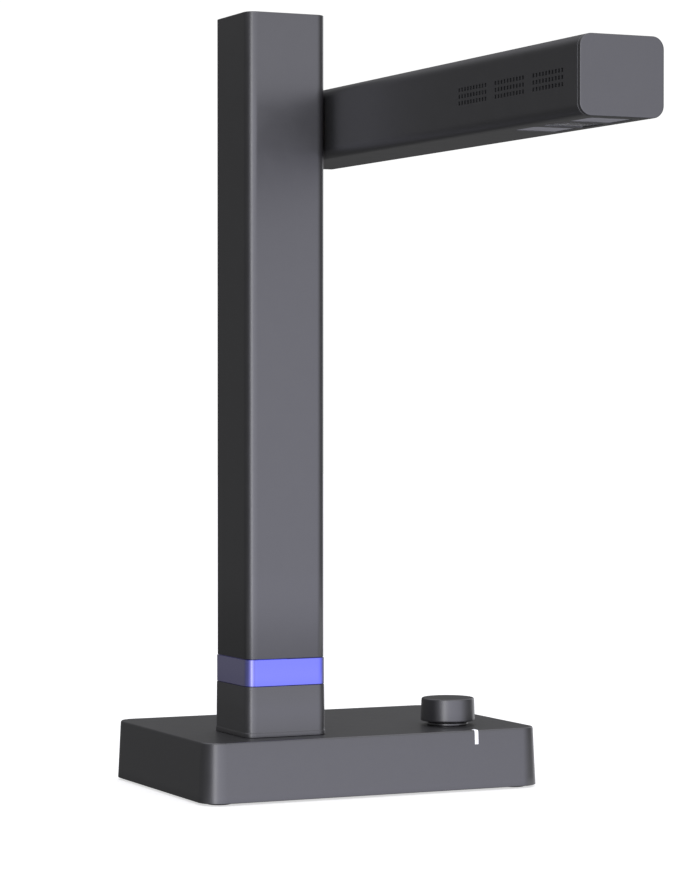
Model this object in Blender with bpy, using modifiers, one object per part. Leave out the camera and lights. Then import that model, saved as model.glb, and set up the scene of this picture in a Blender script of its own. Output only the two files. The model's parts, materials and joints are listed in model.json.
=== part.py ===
"""Overhead book scanner: a weighted base with a turn-and-press knob, a square post with a glowing
ring, and a camera arm on a friction hinge at the post's side that folds down along the post.

Metres, +Z up, +X to the user's right, -Y towards the user. The origin is under the middle of the
whole object, on the surface it stands on.
"""

import math

import bmesh
import bpy
from mathutils import Matrix, Vector

# ---- overall sizes -------------------------------------------------------------------------
BASE_WIDTH = 0.1953
BASE_DEPTH = 0.1356
BASE_HEIGHT = 0.0311
FOOT_HEIGHT = 0.0012        # daylight under the base
POST_TOP = 0.409
POST_SIZE = 0.045           # side of the square tube
ARM_WIDTH = 0.0434
ARM_HEIGHT = 0.0369
ARM_REACH = 0.289           # pivot to the arm's front face
PIVOT_HEIGHT = 0.3532

# ---- clearances ----------------------------------------------------------------------------
SEAT = 0.0003               # between fixed pieces that touch
RUNNING = 0.0001            # radial, round a turning shaft
HINGE_GAP = 0.001           # between the arm and the post

# ---- base ----------------------------------------------------------------------------------
BASE_DRAFT = 0.0015         # each side leans in by this much up to the top
BASE_CORNER = 0.0115
BASE_RIM = 0.001
BASE_WALL = 0.0024
PLATE_THICKNESS = 0.0016
PLATE_RECESS = 0.0008       # bottom plate above the housing's lower edge
FOOT_RADIUS = 0.0065
FOOT_INSET = 0.012
BOSS_RADIUS = 0.0036
BOSS_SETBACK = 0.0135       # screw bosses behind the base's front edge, and in front of its back
BASE_SCREW_RADIUS = 0.0014
BALLAST_THICKNESS = 0.010
BALLAST_EDGE = 0.0170       # ballast to the base's front and back edges
BALLAST_GAP = 0.0030        # ballast to the screw bosses
BOARD_SIZE = (0.108, 0.062, 0.0016)
BOARD_STANDOFF = 0.0015     # main board above the ballast
USB_SIZE = (0.0090, 0.0074, 0.0033)
USB_WALL = 0.0004
POWER_SIZE = (0.0095, 0.0120, 0.0095)
POWER_BORE = 0.0028
SOCKET_SPACING = 0.030

# ---- knob ----------------------------------------------------------------------------------
KNOB_X = 0.0581
KNOB_SETBACK = 0.0351       # behind the base's front edge
KNOB_RADIUS = 0.0147
KNOB_TOP_RADIUS = 0.0142
KNOB_HEIGHT = 0.0123
KNOB_LIFT = 0.0022          # skirt above the base's top
KNOB_RIM = 0.0008
KNOB_TRAVEL = 0.0005
RING_RADIUS = 0.0110
RING_HEIGHT = 0.0015
BUSHING_RADIUS = 0.0045
SHAFT_RADIUS = 0.0030
ENCODER_SIZE = (0.0126, 0.0126, 0.0068)
INDICATOR_WIDTH = 0.0020
INDICATOR_DROP = 0.0074
INDICATOR_DEPTH = 0.0038

# ---- post ----------------------------------------------------------------------------------
POST_LEFT_INSET = 0.0300    # post's left face from the base's left edge
POST_SETBACK = 0.0162       # post's front face behind the base's front edge
POST_CORNER = 0.0055
POST_WALL = 0.0020
COLLAR_HEIGHT = 0.0265
COLLAR_FLARE = 0.0003
COLLAR_PROUD = 0.0002
COLLAR_LIP = 0.0022
RING_BAND_HEIGHT = 0.0139
RING_BAND_PROUD = 0.00025
CORE_SIZE = 0.0330
CORE_BORE = 0.0260
CORE_FLOOR = 0.006
CORE_RISE = 0.040           # how far the core reaches into the tube
LIGHT_BOARD_THICKNESS = 0.0012
WIRE_HOLE = 0.0060
POST_SCREW_SPREAD = 0.0105
POST_SCREW_RADIUS = 0.0018
TUBE_SCREW_RADIUS = 0.0015
TUBE_SCREW_PITCH = 0.016
TOP_CAP_THICKNESS = 0.0018

# ---- hinge ---------------------------------------------------------------------------------
AXLE_RADIUS = 0.0060
AXLE_BORE = 0.0034
FLANGE_THICKNESS = 0.003
BRACKET_SIZE = 0.0350
BRACKET_THICKNESS = 0.003
WASHER_RADIUS = 0.0125
STOP_RADIUS = 0.0160
WASHER_THICKNESS = 0.0006
STOP_THICKNESS = 0.0012
STOP_PIN_RADIUS = 0.0012
FOLD_ANGLE = math.radians(90)
NUT_ACROSS_FLATS = 0.019
NUT_THICKNESS = 0.005
WALL_SCREW_RING = 0.0118
HINGE_SCREW_RADIUS = 0.0012

# ---- arm -----------------------------------------------------------------------------------
ARM_CORNER = 0.0059
ARM_WALL = 0.0020
CAP_THICKNESS = 0.0020
CAP_RIM = 0.0004
CAP_PLUG_DEPTH = 0.0040
WINDOW_SIZE = (0.0220, 0.0200)
WINDOW_PITCH = 0.0260
WINDOW_START = 0.0193       # arm's front face to the first window's middle
WINDOW_THICKNESS = 0.0014
WINDOW_RECESS = 0.0002
VENT_GROUPS = 3
VENT_COLUMNS = 10
VENT_ROWS = 3
VENT_SLOT = (0.0016, 0.0019)    # along the arm, up
VENT_PITCH = (0.0030, 0.0032)
VENT_GROUP_PITCH = 0.0370
VENT_START = 0.0297         # arm's front face to the first group's middle
CARRIER_THICKNESS = 0.0016
CARRIER_LIP = 0.0024
CARRIER_MARGIN = 0.0022     # past the outer windows at each end
LED_BOARD_SIZE = (0.026, 0.020, 0.0012)
LED_BOARD_LIFT = 0.005
LENS_RADIUS = 0.0070
LENS_HEIGHT = 0.0110
CAMERA_BOARD_SIZE = (0.030, 0.022, 0.0014)
CABLE_RADIUS = 0.0013

# ---- finishes: colour, roughness, metallic ---------------------------------------------------
GRAPHITE = ((0.100, 0.100, 0.108), 0.42, 0.15)
GRAPHITE_METAL = ((0.100, 0.100, 0.108), 0.38, 0.55)
BLACK_PLASTIC = ((0.025, 0.025, 0.027), 0.55, 0.0)
BLACK_RUBBER = ((0.018, 0.018, 0.018), 0.85, 0.0)
ZINC_STEEL = ((0.56, 0.57, 0.58), 0.35, 1.0)
CAST_STEEL = ((0.30, 0.30, 0.31), 0.55, 0.9)
CIRCUIT_GREEN = ((0.02, 0.12, 0.06), 0.45, 0.0)
BRONZE = ((0.55, 0.38, 0.18), 0.40, 1.0)
BLUE_DIFFUSER = ((0.10, 0.12, 0.85), 0.30, 0.0)
WHITE_DIFFUSER = ((0.92, 0.94, 1.00), 0.30, 0.0)
FROSTED = ((0.45, 0.45, 0.50), 0.45, 0.0)
DARK_GLASS = ((0.03, 0.03, 0.04), 0.06, 0.0)

# ---- places worked out from the sizes --------------------------------------------------------
BASE_TOP = FOOT_HEIGHT + BASE_HEIGHT
POST_HALF = POST_SIZE / 2
BASE_FRONT = -(POST_SETBACK + POST_HALF - ARM_REACH + BASE_DEPTH) / 2
BASE_BACK = BASE_FRONT + BASE_DEPTH
BASE_MIDDLE = (BASE_FRONT + BASE_BACK) / 2
POST_X = -BASE_WIDTH / 2 + POST_LEFT_INSET + POST_HALF
POST_Y = BASE_FRONT + POST_SETBACK + POST_HALF
POST_RIGHT = POST_X + POST_HALF
KNOB_Y = BASE_FRONT + KNOB_SETBACK
BOSS_INSET = FOOT_INSET + 2 * FOOT_RADIUS       # the bosses stand inboard of the feet
PLATE_LOW = FOOT_HEIGHT + PLATE_RECESS
PLATE_TOP = PLATE_LOW + PLATE_THICKNESS
BOARD_LOW = PLATE_TOP + SEAT + BALLAST_THICKNESS + BOARD_STANDOFF
BOARD_TOP = BOARD_LOW + BOARD_SIZE[2]
COLLAR_TOP = BASE_TOP + COLLAR_HEIGHT
BAND_TOP = COLLAR_TOP + RING_BAND_HEIGHT
TUBE_INNER = POST_SIZE - 2 * POST_WALL
ARM_LEFT = POST_RIGHT + HINGE_GAP
ARM_RIGHT = ARM_LEFT + ARM_WIDTH
ARM_X = (ARM_LEFT + ARM_RIGHT) / 2
ARM_BOTTOM = PIVOT_HEIGHT - ARM_HEIGHT / 2
ARM_TOP = PIVOT_HEIGHT + ARM_HEIGHT / 2
ARM_FRONT = POST_Y - ARM_REACH
ARM_TAIL = POST_TOP - PIVOT_HEIGHT      # the arm's end is level with the post's top when folded
ARM_BACK = POST_Y + ARM_TAIL
FLANGE_RADIUS = ARM_HEIGHT / 2 - ARM_CORNER     # as far as the arm's side is flat
WINDOW_PLACES = [ARM_FRONT + WINDOW_START + WINDOW_PITCH * i for i in range(3)]

X_AXIS = Matrix.Rotation(math.radians(90), 4, "Y")      # turns a piece made along Z to lie along X
Y_AXIS = Matrix.Rotation(math.radians(-90), 4, "X")     # turns a piece made along Z to lie along Y
YZ_PLANE = Matrix(((0, 0, 1, 0), (1, 0, 0, 0), (0, 1, 0, 0), (0, 0, 0, 1)))    # stands an XY outline up in YZ


# ---- scene and helpers -----------------------------------------------------------------------
def clear_scene():
    for obj in list(bpy.data.objects):
        bpy.data.objects.remove(obj, do_unlink=True)


def new_collection(name):
    collection = bpy.data.collections.new(name)
    bpy.context.scene.collection.children.link(collection)
    return collection


def paint(obj, finish):
    colour, roughness, metallic = finish
    material = bpy.data.materials.new(obj.name + "_finish")
    material.use_nodes = True
    shader = material.node_tree.nodes["Principled BSDF"]
    shader.inputs["Base Color"].default_value = (*colour, 1.0)
    shader.inputs["Roughness"].default_value = roughness
    shader.inputs["Metallic"].default_value = metallic
    obj.data.materials.append(material)


def add_object(name, data, finish=None, place=None):
    """Puts the data in the scanner's collection, or among the cutters when it has no finish."""
    obj = bpy.data.objects.new(name, data)
    if place is not None:
        obj.matrix_world = place
    if finish is None:
        CUTTERS.objects.link(obj)
        obj.hide_render = True
        obj.display_type = "WIRE"
    else:
        SCANNER.objects.link(obj)
        paint(obj, finish)
    return obj


def smooth(mesh, angle=35):
    mesh.shade_smooth()
    mesh.set_sharp_from_angle(angle=math.radians(angle))


def bevel(bm, edges, width, steps):
    bmesh.ops.bevel(bm, geom=edges, offset=width, segments=steps, profile=0.5, affect="EDGES")


def rounded_box(low, high, corner=0.0, along=2, rim_low=0.0, rim_high=0.0, draft=0.0, steps=5):
    """A box whose four edges along one axis are rounded, and then the rims of its two ends."""
    bm = bmesh.new()
    bmesh.ops.create_cube(bm, size=1.0)
    low, high = Vector(low), Vector(high)
    size = high - low
    for vertex in bm.verts:
        vertex.co = Vector(low[i] + (vertex.co[i] + 0.5) * size[i] for i in range(3))
        if draft and vertex.co[along] > high[along] - size[along] / 2:
            for i in range(3):
                if i != along:
                    vertex.co[i] += draft if vertex.co[i] < (low[i] + high[i]) / 2 else -draft
    if corner:
        long_edges = [e for e in bm.edges if abs((e.verts[0].co - e.verts[1].co)[along]) > size[along] / 2]
        bevel(bm, long_edges, corner, steps)
    for level, width in ((low[along], rim_low), (high[along], rim_high)):
        if width:
            rim = [e for e in bm.edges if all(abs(v.co[along] - level) < 1e-6 for v in e.verts)]
            bevel(bm, rim, width, 3)
    bmesh.ops.recalc_face_normals(bm, faces=bm.faces)
    return bm


def block(name, low, high, finish=None, **shape):
    """An object made from rounded_box, whose keywords it passes on."""
    bm = rounded_box(low, high, **shape)
    mesh = bpy.data.meshes.new(name)
    bm.to_mesh(mesh)
    bm.free()
    smooth(mesh)
    return add_object(name, mesh, finish)


def centred(centre, size):
    """The lowest and highest corners of a box with this centre and size."""
    centre, size = Vector(centre), Vector(size)
    return centre - size / 2, centre + size / 2


def open_box(name, low, high, open_ends, wall, finish, along=2, **shape):
    """A rounded box without the faces at its open ends, given a wall on the inside."""
    bm = rounded_box(low, high, along=along, **shape)
    levels = [(low, high)[end][along] for end in open_ends]
    ends = [f for f in bm.faces if any(all(abs(v.co[along] - k) < 1e-6 for v in f.verts) for k in levels)]
    bmesh.ops.delete(bm, geom=ends, context="FACES")
    mesh = bpy.data.meshes.new(name)
    bm.to_mesh(mesh)
    bm.free()
    smooth(mesh)
    obj = add_object(name, mesh, finish)
    shell = obj.modifiers.new("wall", "SOLIDIFY")
    shell.thickness = wall
    shell.offset = -1
    shell.use_even_offset = True
    return obj


def boolean(obj, other, operation):
    modifier = obj.modifiers.new(other.name, "BOOLEAN")
    modifier.operation = operation
    modifier.object = other
    modifier.solver = "EXACT"


def cut(obj, *cutters):
    for cutter in cutters:
        boolean(obj, cutter, "DIFFERENCE")


def join(obj, *others):
    for other in others:
        boolean(obj, other, "UNION")


def turned(name, profile, finish=None, place=None, closed=False, steps=20):
    """A turned piece: (radius, height) points down the outer side, closed for a ring's section."""
    points = [(radius, 0, height) for radius, height in profile]
    edges = [(i, i + 1) for i in range(len(points) - 1)]
    if closed:
        edges.append((len(points) - 1, 0))
    mesh = bpy.data.meshes.new(name)
    mesh.from_pydata(points, edges, [])
    obj = add_object(name, mesh, finish, place)
    screw = obj.modifiers.new("turn", "SCREW")
    screw.steps = screw.render_steps = steps
    screw.use_smooth_shade = True
    screw.use_merge_vertices = True
    screw.merge_threshold = 0.00001
    return obj


def rod_profile(radius, low, high):
    return [(0, high), (radius, high), (radius, low), (0, low)]


def ring_profile(inner, outer, low, high):
    return [(outer, high), (outer, low), (inner, low), (inner, high)]


def rod(name, radius, low, high, finish=None, place=None, steps=20):
    return turned(name, rod_profile(radius, low, high), finish, place, steps=steps)


def ring(name, inner, outer, low, high, finish=None, place=None, steps=20):
    return turned(name, ring_profile(inner, outer, low, high), finish, place, closed=True, steps=steps)


def arc(centre, radius, start, end, steps):
    """Points along an arc, ends included, in degrees."""
    angles = [math.radians(start + (end - start) * i / steps) for i in range(steps + 1)]
    return [(centre[0] + radius * math.cos(a), centre[1] + radius * math.sin(a)) for a in angles]


def rectangle(width, depth, corner, centre=(0, 0), steps=3):
    x, y = width / 2 - corner, depth / 2 - corner
    outline = []
    for sx, sy, start in ((1, 1, 0), (-1, 1, 90), (-1, -1, 180), (1, -1, 270)):
        outline += arc((centre[0] + sx * x, centre[1] + sy * y), corner, start, start + 90, steps)
    return outline


def circle(radius, centre=(0, 0), steps=20):
    return arc(centre, radius, 0, 360 * (steps - 1) / steps, steps - 1)


def plate(name, outlines, thickness, finish=None, place=None):
    """A flat piece: closed outlines, where an outline inside another is a hole, centred on its height."""
    curve = bpy.data.curves.new(name, "CURVE")
    curve.dimensions = "2D"
    curve.fill_mode = "BOTH"
    curve.extrude = thickness / 2
    for outline in outlines:
        spline = curve.splines.new("POLY")
        spline.points.add(len(outline) - 1)
        for point, (x, y) in zip(spline.points, outline):
            point.co = (x, y, 0, 1)
        spline.use_cyclic_u = True
    return add_object(name, curve, finish, place)


def cable(name, points, finish, steps=20):
    """A round lead through the given points, read from one smooth curve, with filled ends."""
    curve = bpy.data.curves.new(name, "CURVE")
    curve.dimensions = "3D"
    curve.bevel_depth = CABLE_RADIUS
    curve.bevel_resolution = 2
    curve.use_fill_caps = True
    spline = curve.splines.new("POLY")
    route = smooth_route([Vector(p) for p in points], steps)
    spline.points.add(len(route) - 1)
    for point, place in zip(spline.points, route):
        point.co = (*place, 1)
    return add_object(name, curve, finish)


def smooth_route(points, steps):
    """Evenly numbered points on the Catmull-Rom curve through the route's own points."""
    ends = [2 * points[0] - points[1], *points, 2 * points[-1] - points[-2]]
    route = []
    for i in range(steps + 1):
        along = (len(points) - 1) * i / steps
        k = min(int(along), len(points) - 2)
        t = along - k
        a, b, c, d = ends[k:k + 4]
        route.append(0.5 * (2 * b + (c - a) * t + (2 * a - 5 * b + 4 * c - d) * t**2
                            + (3 * b - a - 3 * c + d) * t**3))
    return route


def at(x, y, z, turn=None):
    place = Matrix.Translation((x, y, z))
    return place @ turn if turn else place


def corners(dx, dy):
    """The four signed corner offsets, with their names."""
    return [("front_left", -dx, -dy), ("front_right", dx, -dy), ("rear_left", -dx, dy), ("rear_right", dx, dy)]


def pan_screw(name, place, radius, length, head_radius, head_height):
    """A screw whose shank points along its own +Z, with a domed head below and a cross recess left out."""
    profile = [(0, length), (radius, length), (radius, 0), (head_radius, 0),
               (head_radius, -head_height * 0.6), (head_radius * 0.75, -head_height), (0, -head_height)]
    return turned(name, profile, ZINC_STEEL, place, steps=12)


def flat_screw(name, place, radius, length, head_radius):
    """A countersunk screw: its flat head lies at its own z = 0 and the shank points along +Z."""
    cone = head_radius - radius
    profile = [(0, length), (radius, length), (radius, cone), (head_radius, 0), (0, 0)]
    return turned(name, profile, ZINC_STEEL, place, steps=12)


# ---- base ------------------------------------------------------------------------------------
def base_solid(name, finish=None):
    """The base's whole outer form, also used where a piece has to lie flush with it."""
    half = BASE_WIDTH / 2
    return block(name, (-half, BASE_FRONT, FOOT_HEIGHT), (half, BASE_BACK, BASE_TOP), finish,
                 corner=BASE_CORNER, rim_high=BASE_RIM, draft=BASE_DRAFT)


def boss_places():
    return [(name, x, BASE_MIDDLE + y)
            for name, x, y in corners(BASE_WIDTH / 2 - BOSS_INSET, BASE_DEPTH / 2 - BOSS_SETBACK)]


def post_screw_places():
    return [(name, POST_X + x, POST_Y + y) for name, x, y in corners(POST_SCREW_SPREAD, POST_SCREW_SPREAD)]


def socket_places():
    """The two sockets' middles along X, either side of the main board's middle."""
    return -SOCKET_SPACING / 2, SOCKET_SPACING / 2


def make_base_housing():
    """A moulded box, open below: the outer form less the same form set in and down by the wall."""
    housing = base_solid("base_housing", GRAPHITE)
    inner = BASE_WIDTH / 2 - BASE_WALL
    cut(housing, block("base_hollow", (-inner, BASE_FRONT + BASE_WALL, FOOT_HEIGHT - BASE_WALL),
                       (inner, BASE_BACK - BASE_WALL, BASE_TOP - BASE_WALL),
                       corner=BASE_CORNER - BASE_WALL, draft=BASE_DRAFT))
    boss_low = PLATE_TOP + SEAT
    for name, x, y in boss_places():
        join(housing, rod("boss_" + name, BOSS_RADIUS, boss_low, BASE_TOP - BASE_WALL / 2,
                          place=at(x, y, 0), steps=12))
        cut(housing, rod("boss_hole_" + name, BASE_SCREW_RADIUS + SEAT / 2, 0, boss_low + 0.010,
                         place=at(x, y, 0), steps=12))
    top_cut = (BASE_TOP - 2 * BASE_WALL, BASE_TOP + BASE_WALL)
    cut(housing, rod("wire_hole", WIRE_HOLE, *top_cut, place=at(POST_X, POST_Y, 0)))
    cut(housing, rod("bushing_hole", BUSHING_RADIUS + SEAT, *top_cut, place=at(KNOB_X, KNOB_Y, 0)))
    for name, x, y in post_screw_places():
        cut(housing, rod("post_screw_hole_" + name, POST_SCREW_RADIUS + SEAT, *top_cut,
                         place=at(x, y, 0), steps=12))
    cut(housing, indicator_block("indicator_slot", SEAT))
    for cutter in socket_cutters():
        cut(housing, cutter)


def indicator_block(name, grow):
    """The stretch of the front top edge that the light pipe takes up."""
    half = INDICATOR_WIDTH / 2 + grow
    return block(name, (KNOB_X - half, BASE_FRONT - BASE_WALL, BASE_TOP - INDICATOR_DROP - grow),
                 (KNOB_X + half, BASE_FRONT + BASE_DRAFT + INDICATOR_DEPTH + grow, BASE_TOP + BASE_WALL))


def make_indicator():
    """A white light pipe that wraps the base's front top edge in line with the knob."""
    half = INDICATOR_WIDTH / 2
    pipe = block("indicator_light_pipe",
                 (KNOB_X - half, BASE_FRONT - BASE_WALL, BASE_TOP - INDICATOR_DROP),
                 (KNOB_X + half, BASE_FRONT + BASE_DRAFT + INDICATOR_DEPTH, BASE_TOP + BASE_WALL),
                 WHITE_DIFFUSER)
    boolean(pipe, base_solid("base_outer_form"), "INTERSECT")


def usb_box(grow, name=None, finish=None, reach=0.0):
    x = socket_places()[0]
    width, depth, height = USB_SIZE
    back = BASE_BACK - BASE_DRAFT + reach
    low = (x - width / 2 - grow, back - depth - 2 * reach, BOARD_TOP + SEAT - grow)
    high = (x + width / 2 + grow, back, BOARD_TOP + SEAT + height + grow)
    return block(name, low, high, finish, along=1, corner=height / 2 - 0.0002 + grow, steps=4)


def power_box(grow, name=None, finish=None, reach=0.0):
    x = socket_places()[1]
    width, depth, height = POWER_SIZE
    back = BASE_BACK - BASE_DRAFT + reach
    low = (x - width / 2 - grow, back - depth - 2 * reach, BOARD_TOP + SEAT - grow)
    high = (x + width / 2 + grow, back, BOARD_TOP + SEAT + height + grow)
    return block(name, low, high, finish, along=1, corner=0.001 + grow, steps=2)


def socket_cutters():
    reach = BASE_DRAFT + BASE_WALL
    return usb_box(SEAT, "usb_opening", reach=reach), power_box(SEAT, "power_opening", reach=reach)


def make_sockets():
    usb = usb_box(0, "usb_socket", ZINC_STEEL, reach=-BASE_DRAFT / 2)
    x, z = socket_places()[0], BOARD_TOP + SEAT + USB_SIZE[2] / 2
    inner = (USB_SIZE[0] - 2 * USB_WALL, USB_SIZE[1], USB_SIZE[2] - 2 * USB_WALL)
    mouth = (x, BASE_BACK - BASE_DRAFT, z)
    cut(usb, block("usb_mouth", *centred(mouth, inner), along=1, corner=inner[2] / 2 - 0.0002, steps=4))
    power = power_box(0, "power_socket", BLACK_PLASTIC, reach=-BASE_DRAFT / 2)
    x, z = socket_places()[1], BOARD_TOP + SEAT + POWER_SIZE[2] / 2
    cut(power, rod("power_mouth", POWER_BORE, -POWER_SIZE[1] * 0.6, POWER_SIZE[1] * 0.6,
                   place=at(x, BASE_BACK, z, Y_AXIS), steps=20))


def make_base_plate():
    """The cover that closes the base from below, inside the housing's lower edge."""
    inset = BASE_WALL + BASE_DRAFT / 4 + SEAT
    half = BASE_WIDTH / 2 - inset
    cover = block("base_plate", (-half, BASE_FRONT + inset, PLATE_LOW),
                  (half, BASE_BACK - inset, PLATE_TOP), BLACK_PLASTIC,
                  corner=BASE_CORNER - BASE_WALL, steps=4)
    for name, x, y in boss_places():
        cut(cover, rod("plate_hole_" + name, BASE_SCREW_RADIUS + SEAT, 0, 0.01, place=at(x, y, 0), steps=12))


def make_base_screws():
    for name, x, y in boss_places():
        pan_screw("base_screw_" + name, at(x, y, PLATE_LOW - SEAT), BASE_SCREW_RADIUS, 0.009, 0.0026, 0.0012)


def make_feet():
    top = PLATE_LOW - SEAT
    profile = [(0, top), (FOOT_RADIUS, top), (FOOT_RADIUS, 0.0004), (FOOT_RADIUS - 0.0004, 0), (0, 0)]
    for name, x, y in foot_places():
        turned("foot_" + name, profile, BLACK_RUBBER, at(x, y, 0), steps=24)


def foot_places():
    """Round pads in the base's corners."""
    return [(name, x, BASE_MIDDLE + y)
            for name, x, y in corners(BASE_WIDTH / 2 - FOOT_INSET, BASE_DEPTH / 2 - FOOT_INSET)]


def make_ballast():
    """A steel slab that keeps the scanner standing under the long arm."""
    half = BASE_WIDTH / 2 - BOSS_INSET - BOSS_RADIUS - BALLAST_GAP
    low = PLATE_TOP + SEAT
    block("ballast_plate", (-half, BASE_FRONT + BALLAST_EDGE, low),
          (half, BASE_BACK - BALLAST_EDGE, low + BALLAST_THICKNESS), CAST_STEEL, corner=0.004, steps=3)


def make_main_board():
    width, depth, thickness = BOARD_SIZE
    back = BASE_BACK - BASE_DRAFT - BASE_WALL - SEAT
    outline = rectangle(width, depth, 0.002)
    holes = [circle(0.0016, (x, y), 12) for _, x, y in corners(width / 2 - 0.004, depth / 2 - 0.004)]
    plate("main_board", [outline, *holes], thickness, CIRCUIT_GREEN,
          at(0, back - depth / 2, BOARD_LOW + thickness / 2))


# ---- knob ------------------------------------------------------------------------------------
def make_encoder():
    """The encoder under the base's top: a box with a bored bushing that stands up through the hole."""
    place = at(KNOB_X, KNOB_Y, 0)
    width, depth, height = ENCODER_SIZE
    top = BASE_TOP - BASE_WALL - SEAT
    body = block("encoder_body", (KNOB_X - width / 2, KNOB_Y - depth / 2, top - height),
                 (KNOB_X + width / 2, KNOB_Y + depth / 2, top), BLACK_PLASTIC)
    join(body, rod("bushing", BUSHING_RADIUS, top - height / 2, BASE_TOP + RING_HEIGHT, place=place))
    cut(body, rod("encoder_bore", SHAFT_RADIUS + RUNNING, top - height + 0.001,
                  BASE_TOP + 2 * RING_HEIGHT, place=place))


def plunger_span():
    """The press plunger's lowest and highest points, on the encoder bore's floor with its travel free."""
    floor = BASE_TOP - BASE_WALL - SEAT - ENCODER_SIZE[2] + 0.001
    low = floor + KNOB_TRAVEL + SEAT
    return low, low + 0.001


def make_knob():
    """The plunger only travels down; the shaft and cap turn on it and travel with it."""
    place = at(KNOB_X, KNOB_Y, 0)
    low, high = plunger_span()
    rod("press_plunger", SHAFT_RADIUS - SEAT, low, high, BRONZE, place, steps=20)
    skirt = BASE_TOP + KNOB_LIFT
    top = skirt + KNOB_HEIGHT
    shaft_top = top - 0.003
    rod("knob_shaft", SHAFT_RADIUS, high + SEAT, shaft_top, ZINC_STEEL, place)
    recess = skirt + 0.0022
    bore = SHAFT_RADIUS + RUNNING
    inner = RING_RADIUS + 0.0009
    edge = arc((KNOB_TOP_RADIUS - KNOB_RIM, top - KNOB_RIM), KNOB_RIM, 90, 0, 4)
    profile = [(0, top), *edge, (KNOB_RADIUS, skirt + 0.0007), (KNOB_RADIUS - 0.0009, skirt),
               (inner, skirt), (inner, recess), (bore, recess), (bore, shaft_top + SEAT), (0, shaft_top + SEAT)]
    turned("knob_cap", profile, GRAPHITE_METAL, place, steps=32)
    ring("knob_ring", BUSHING_RADIUS + SEAT, RING_RADIUS, BASE_TOP + SEAT, BASE_TOP + RING_HEIGHT,
         GRAPHITE_METAL, place, steps=32)


# ---- post ------------------------------------------------------------------------------------
def square(size, low, high):
    """The corners of a box of this side, centred on the post, between two heights."""
    half = size / 2
    return (POST_X - half, POST_Y - half, low), (POST_X + half, POST_Y + half, high)


def make_collar():
    """The moulded foot of the post: flares out to the base and ends in a low lip."""
    flare = COLLAR_FLARE
    size = POST_SIZE + 2 * (COLLAR_PROUD + flare)
    low = BASE_TOP + SEAT
    collar = open_box("post_collar", *square(size, low, COLLAR_TOP), (0, 1), POST_WALL, GRAPHITE,
                      corner=POST_CORNER, draft=flare)
    lip = block("collar_lip", *square(size + 0.0004, low, low + COLLAR_LIP), corner=POST_CORNER,
                rim_high=0.0003)
    cut(lip, block("collar_lip_bore", *square(size - 2 * POST_WALL, low - 0.001, low + 2 * COLLAR_LIP),
                   corner=POST_CORNER - POST_WALL))
    join(collar, lip)


def make_light_ring():
    """The translucent band that glows between the collar and the tube."""
    size = POST_SIZE + 2 * RING_BAND_PROUD
    open_box("light_ring", *square(size, COLLAR_TOP + SEAT, BAND_TOP), (0, 1), POST_WALL,
             BLUE_DIFFUSER, corner=POST_CORNER)


def make_light_board():
    outer = TUBE_INNER - 4 * SEAT
    inner = CORE_SIZE + 2 * SEAT
    plate("light_board", [rectangle(outer, outer, 0.002), rectangle(inner, inner, 0.001)],
          LIGHT_BOARD_THICKNESS, CIRCUIT_GREEN,
          at(POST_X, POST_Y, COLLAR_TOP + SEAT + LIGHT_BOARD_THICKNESS / 2))


def make_post_core():
    """The casting bolted to the base: slim through the collar and ring, and a close fit in the tube."""
    low = BASE_TOP + SEAT
    shoulder = BAND_TOP + SEAT
    core = block("post_core", *square(CORE_SIZE, low, shoulder + 0.002), CAST_STEEL, corner=0.003, steps=3)
    fit = TUBE_INNER - 2 * SEAT
    join(core, block("core_head", *square(fit, shoulder, BAND_TOP + CORE_RISE),
                     corner=POST_CORNER - POST_WALL, steps=4))
    cut(core, block("core_bore", *square(CORE_BORE, low + CORE_FLOOR, POST_TOP), corner=0.002, steps=2))
    cut(core, rod("core_wire_hole", WIRE_HOLE, 0, low + 2 * CORE_FLOOR, place=at(POST_X, POST_Y, 0)))
    for name, x, y in post_screw_places():
        cut(core, rod("core_screw_hole_" + name, POST_SCREW_RADIUS + SEAT / 2, 0, low + 2 * CORE_FLOOR,
                      place=at(x, y, 0), steps=12))
    for name, z in tube_screw_places():
        cut(core, rod("core_side_hole_" + name, TUBE_SCREW_RADIUS + SEAT / 2, 0, POST_SIZE,
                      place=at(POST_X, POST_Y, z, Y_AXIS), steps=12))


def tube_screw_places():
    middle = BAND_TOP + CORE_RISE / 2
    return [("lower", middle - TUBE_SCREW_PITCH / 2), ("upper", middle + TUBE_SCREW_PITCH / 2)]


def make_post_tube():
    tube = open_box("post_tube", *square(POST_SIZE, BAND_TOP + SEAT, POST_TOP), (0, 1), POST_WALL,
                    GRAPHITE_METAL, corner=POST_CORNER)
    cut(tube, rod("tube_axle_hole", AXLE_RADIUS + 2 * RUNNING, 0, POST_SIZE,
                  place=at(POST_X, POST_Y, PIVOT_HEIGHT, X_AXIS)))
    for name, y, z in wall_screw_places():
        cut(tube, rod("tube_hinge_hole_" + name, HINGE_SCREW_RADIUS * 2 + SEAT, 0, POST_SIZE,
                      place=at(POST_X, y, z, X_AXIS), steps=12))
    for name, z in tube_screw_places():
        cut(tube, rod("tube_screw_hole_" + name, TUBE_SCREW_RADIUS * 2 + SEAT, 0, POST_SIZE,
                      place=at(POST_X, POST_Y, z, Y_AXIS), steps=12))


def make_tube_screws():
    """Two flat-headed screws through the tube's back wall into the core."""
    back = POST_Y + POST_HALF
    for name, z in tube_screw_places():
        flat_screw("tube_screw_" + name, at(POST_X, back - SEAT, z, Matrix.Rotation(math.radians(90), 4, "X")),
                   TUBE_SCREW_RADIUS, 0.007, TUBE_SCREW_RADIUS * 2)


def make_post_screws():
    """Four screws up through the base's top into the core's floor."""
    head = BASE_TOP - BASE_WALL - SEAT
    for name, x, y in post_screw_places():
        pan_screw("post_screw_" + name, at(x, y, head), POST_SCREW_RADIUS, BASE_WALL + 0.006, 0.0032, 0.0022)


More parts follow.
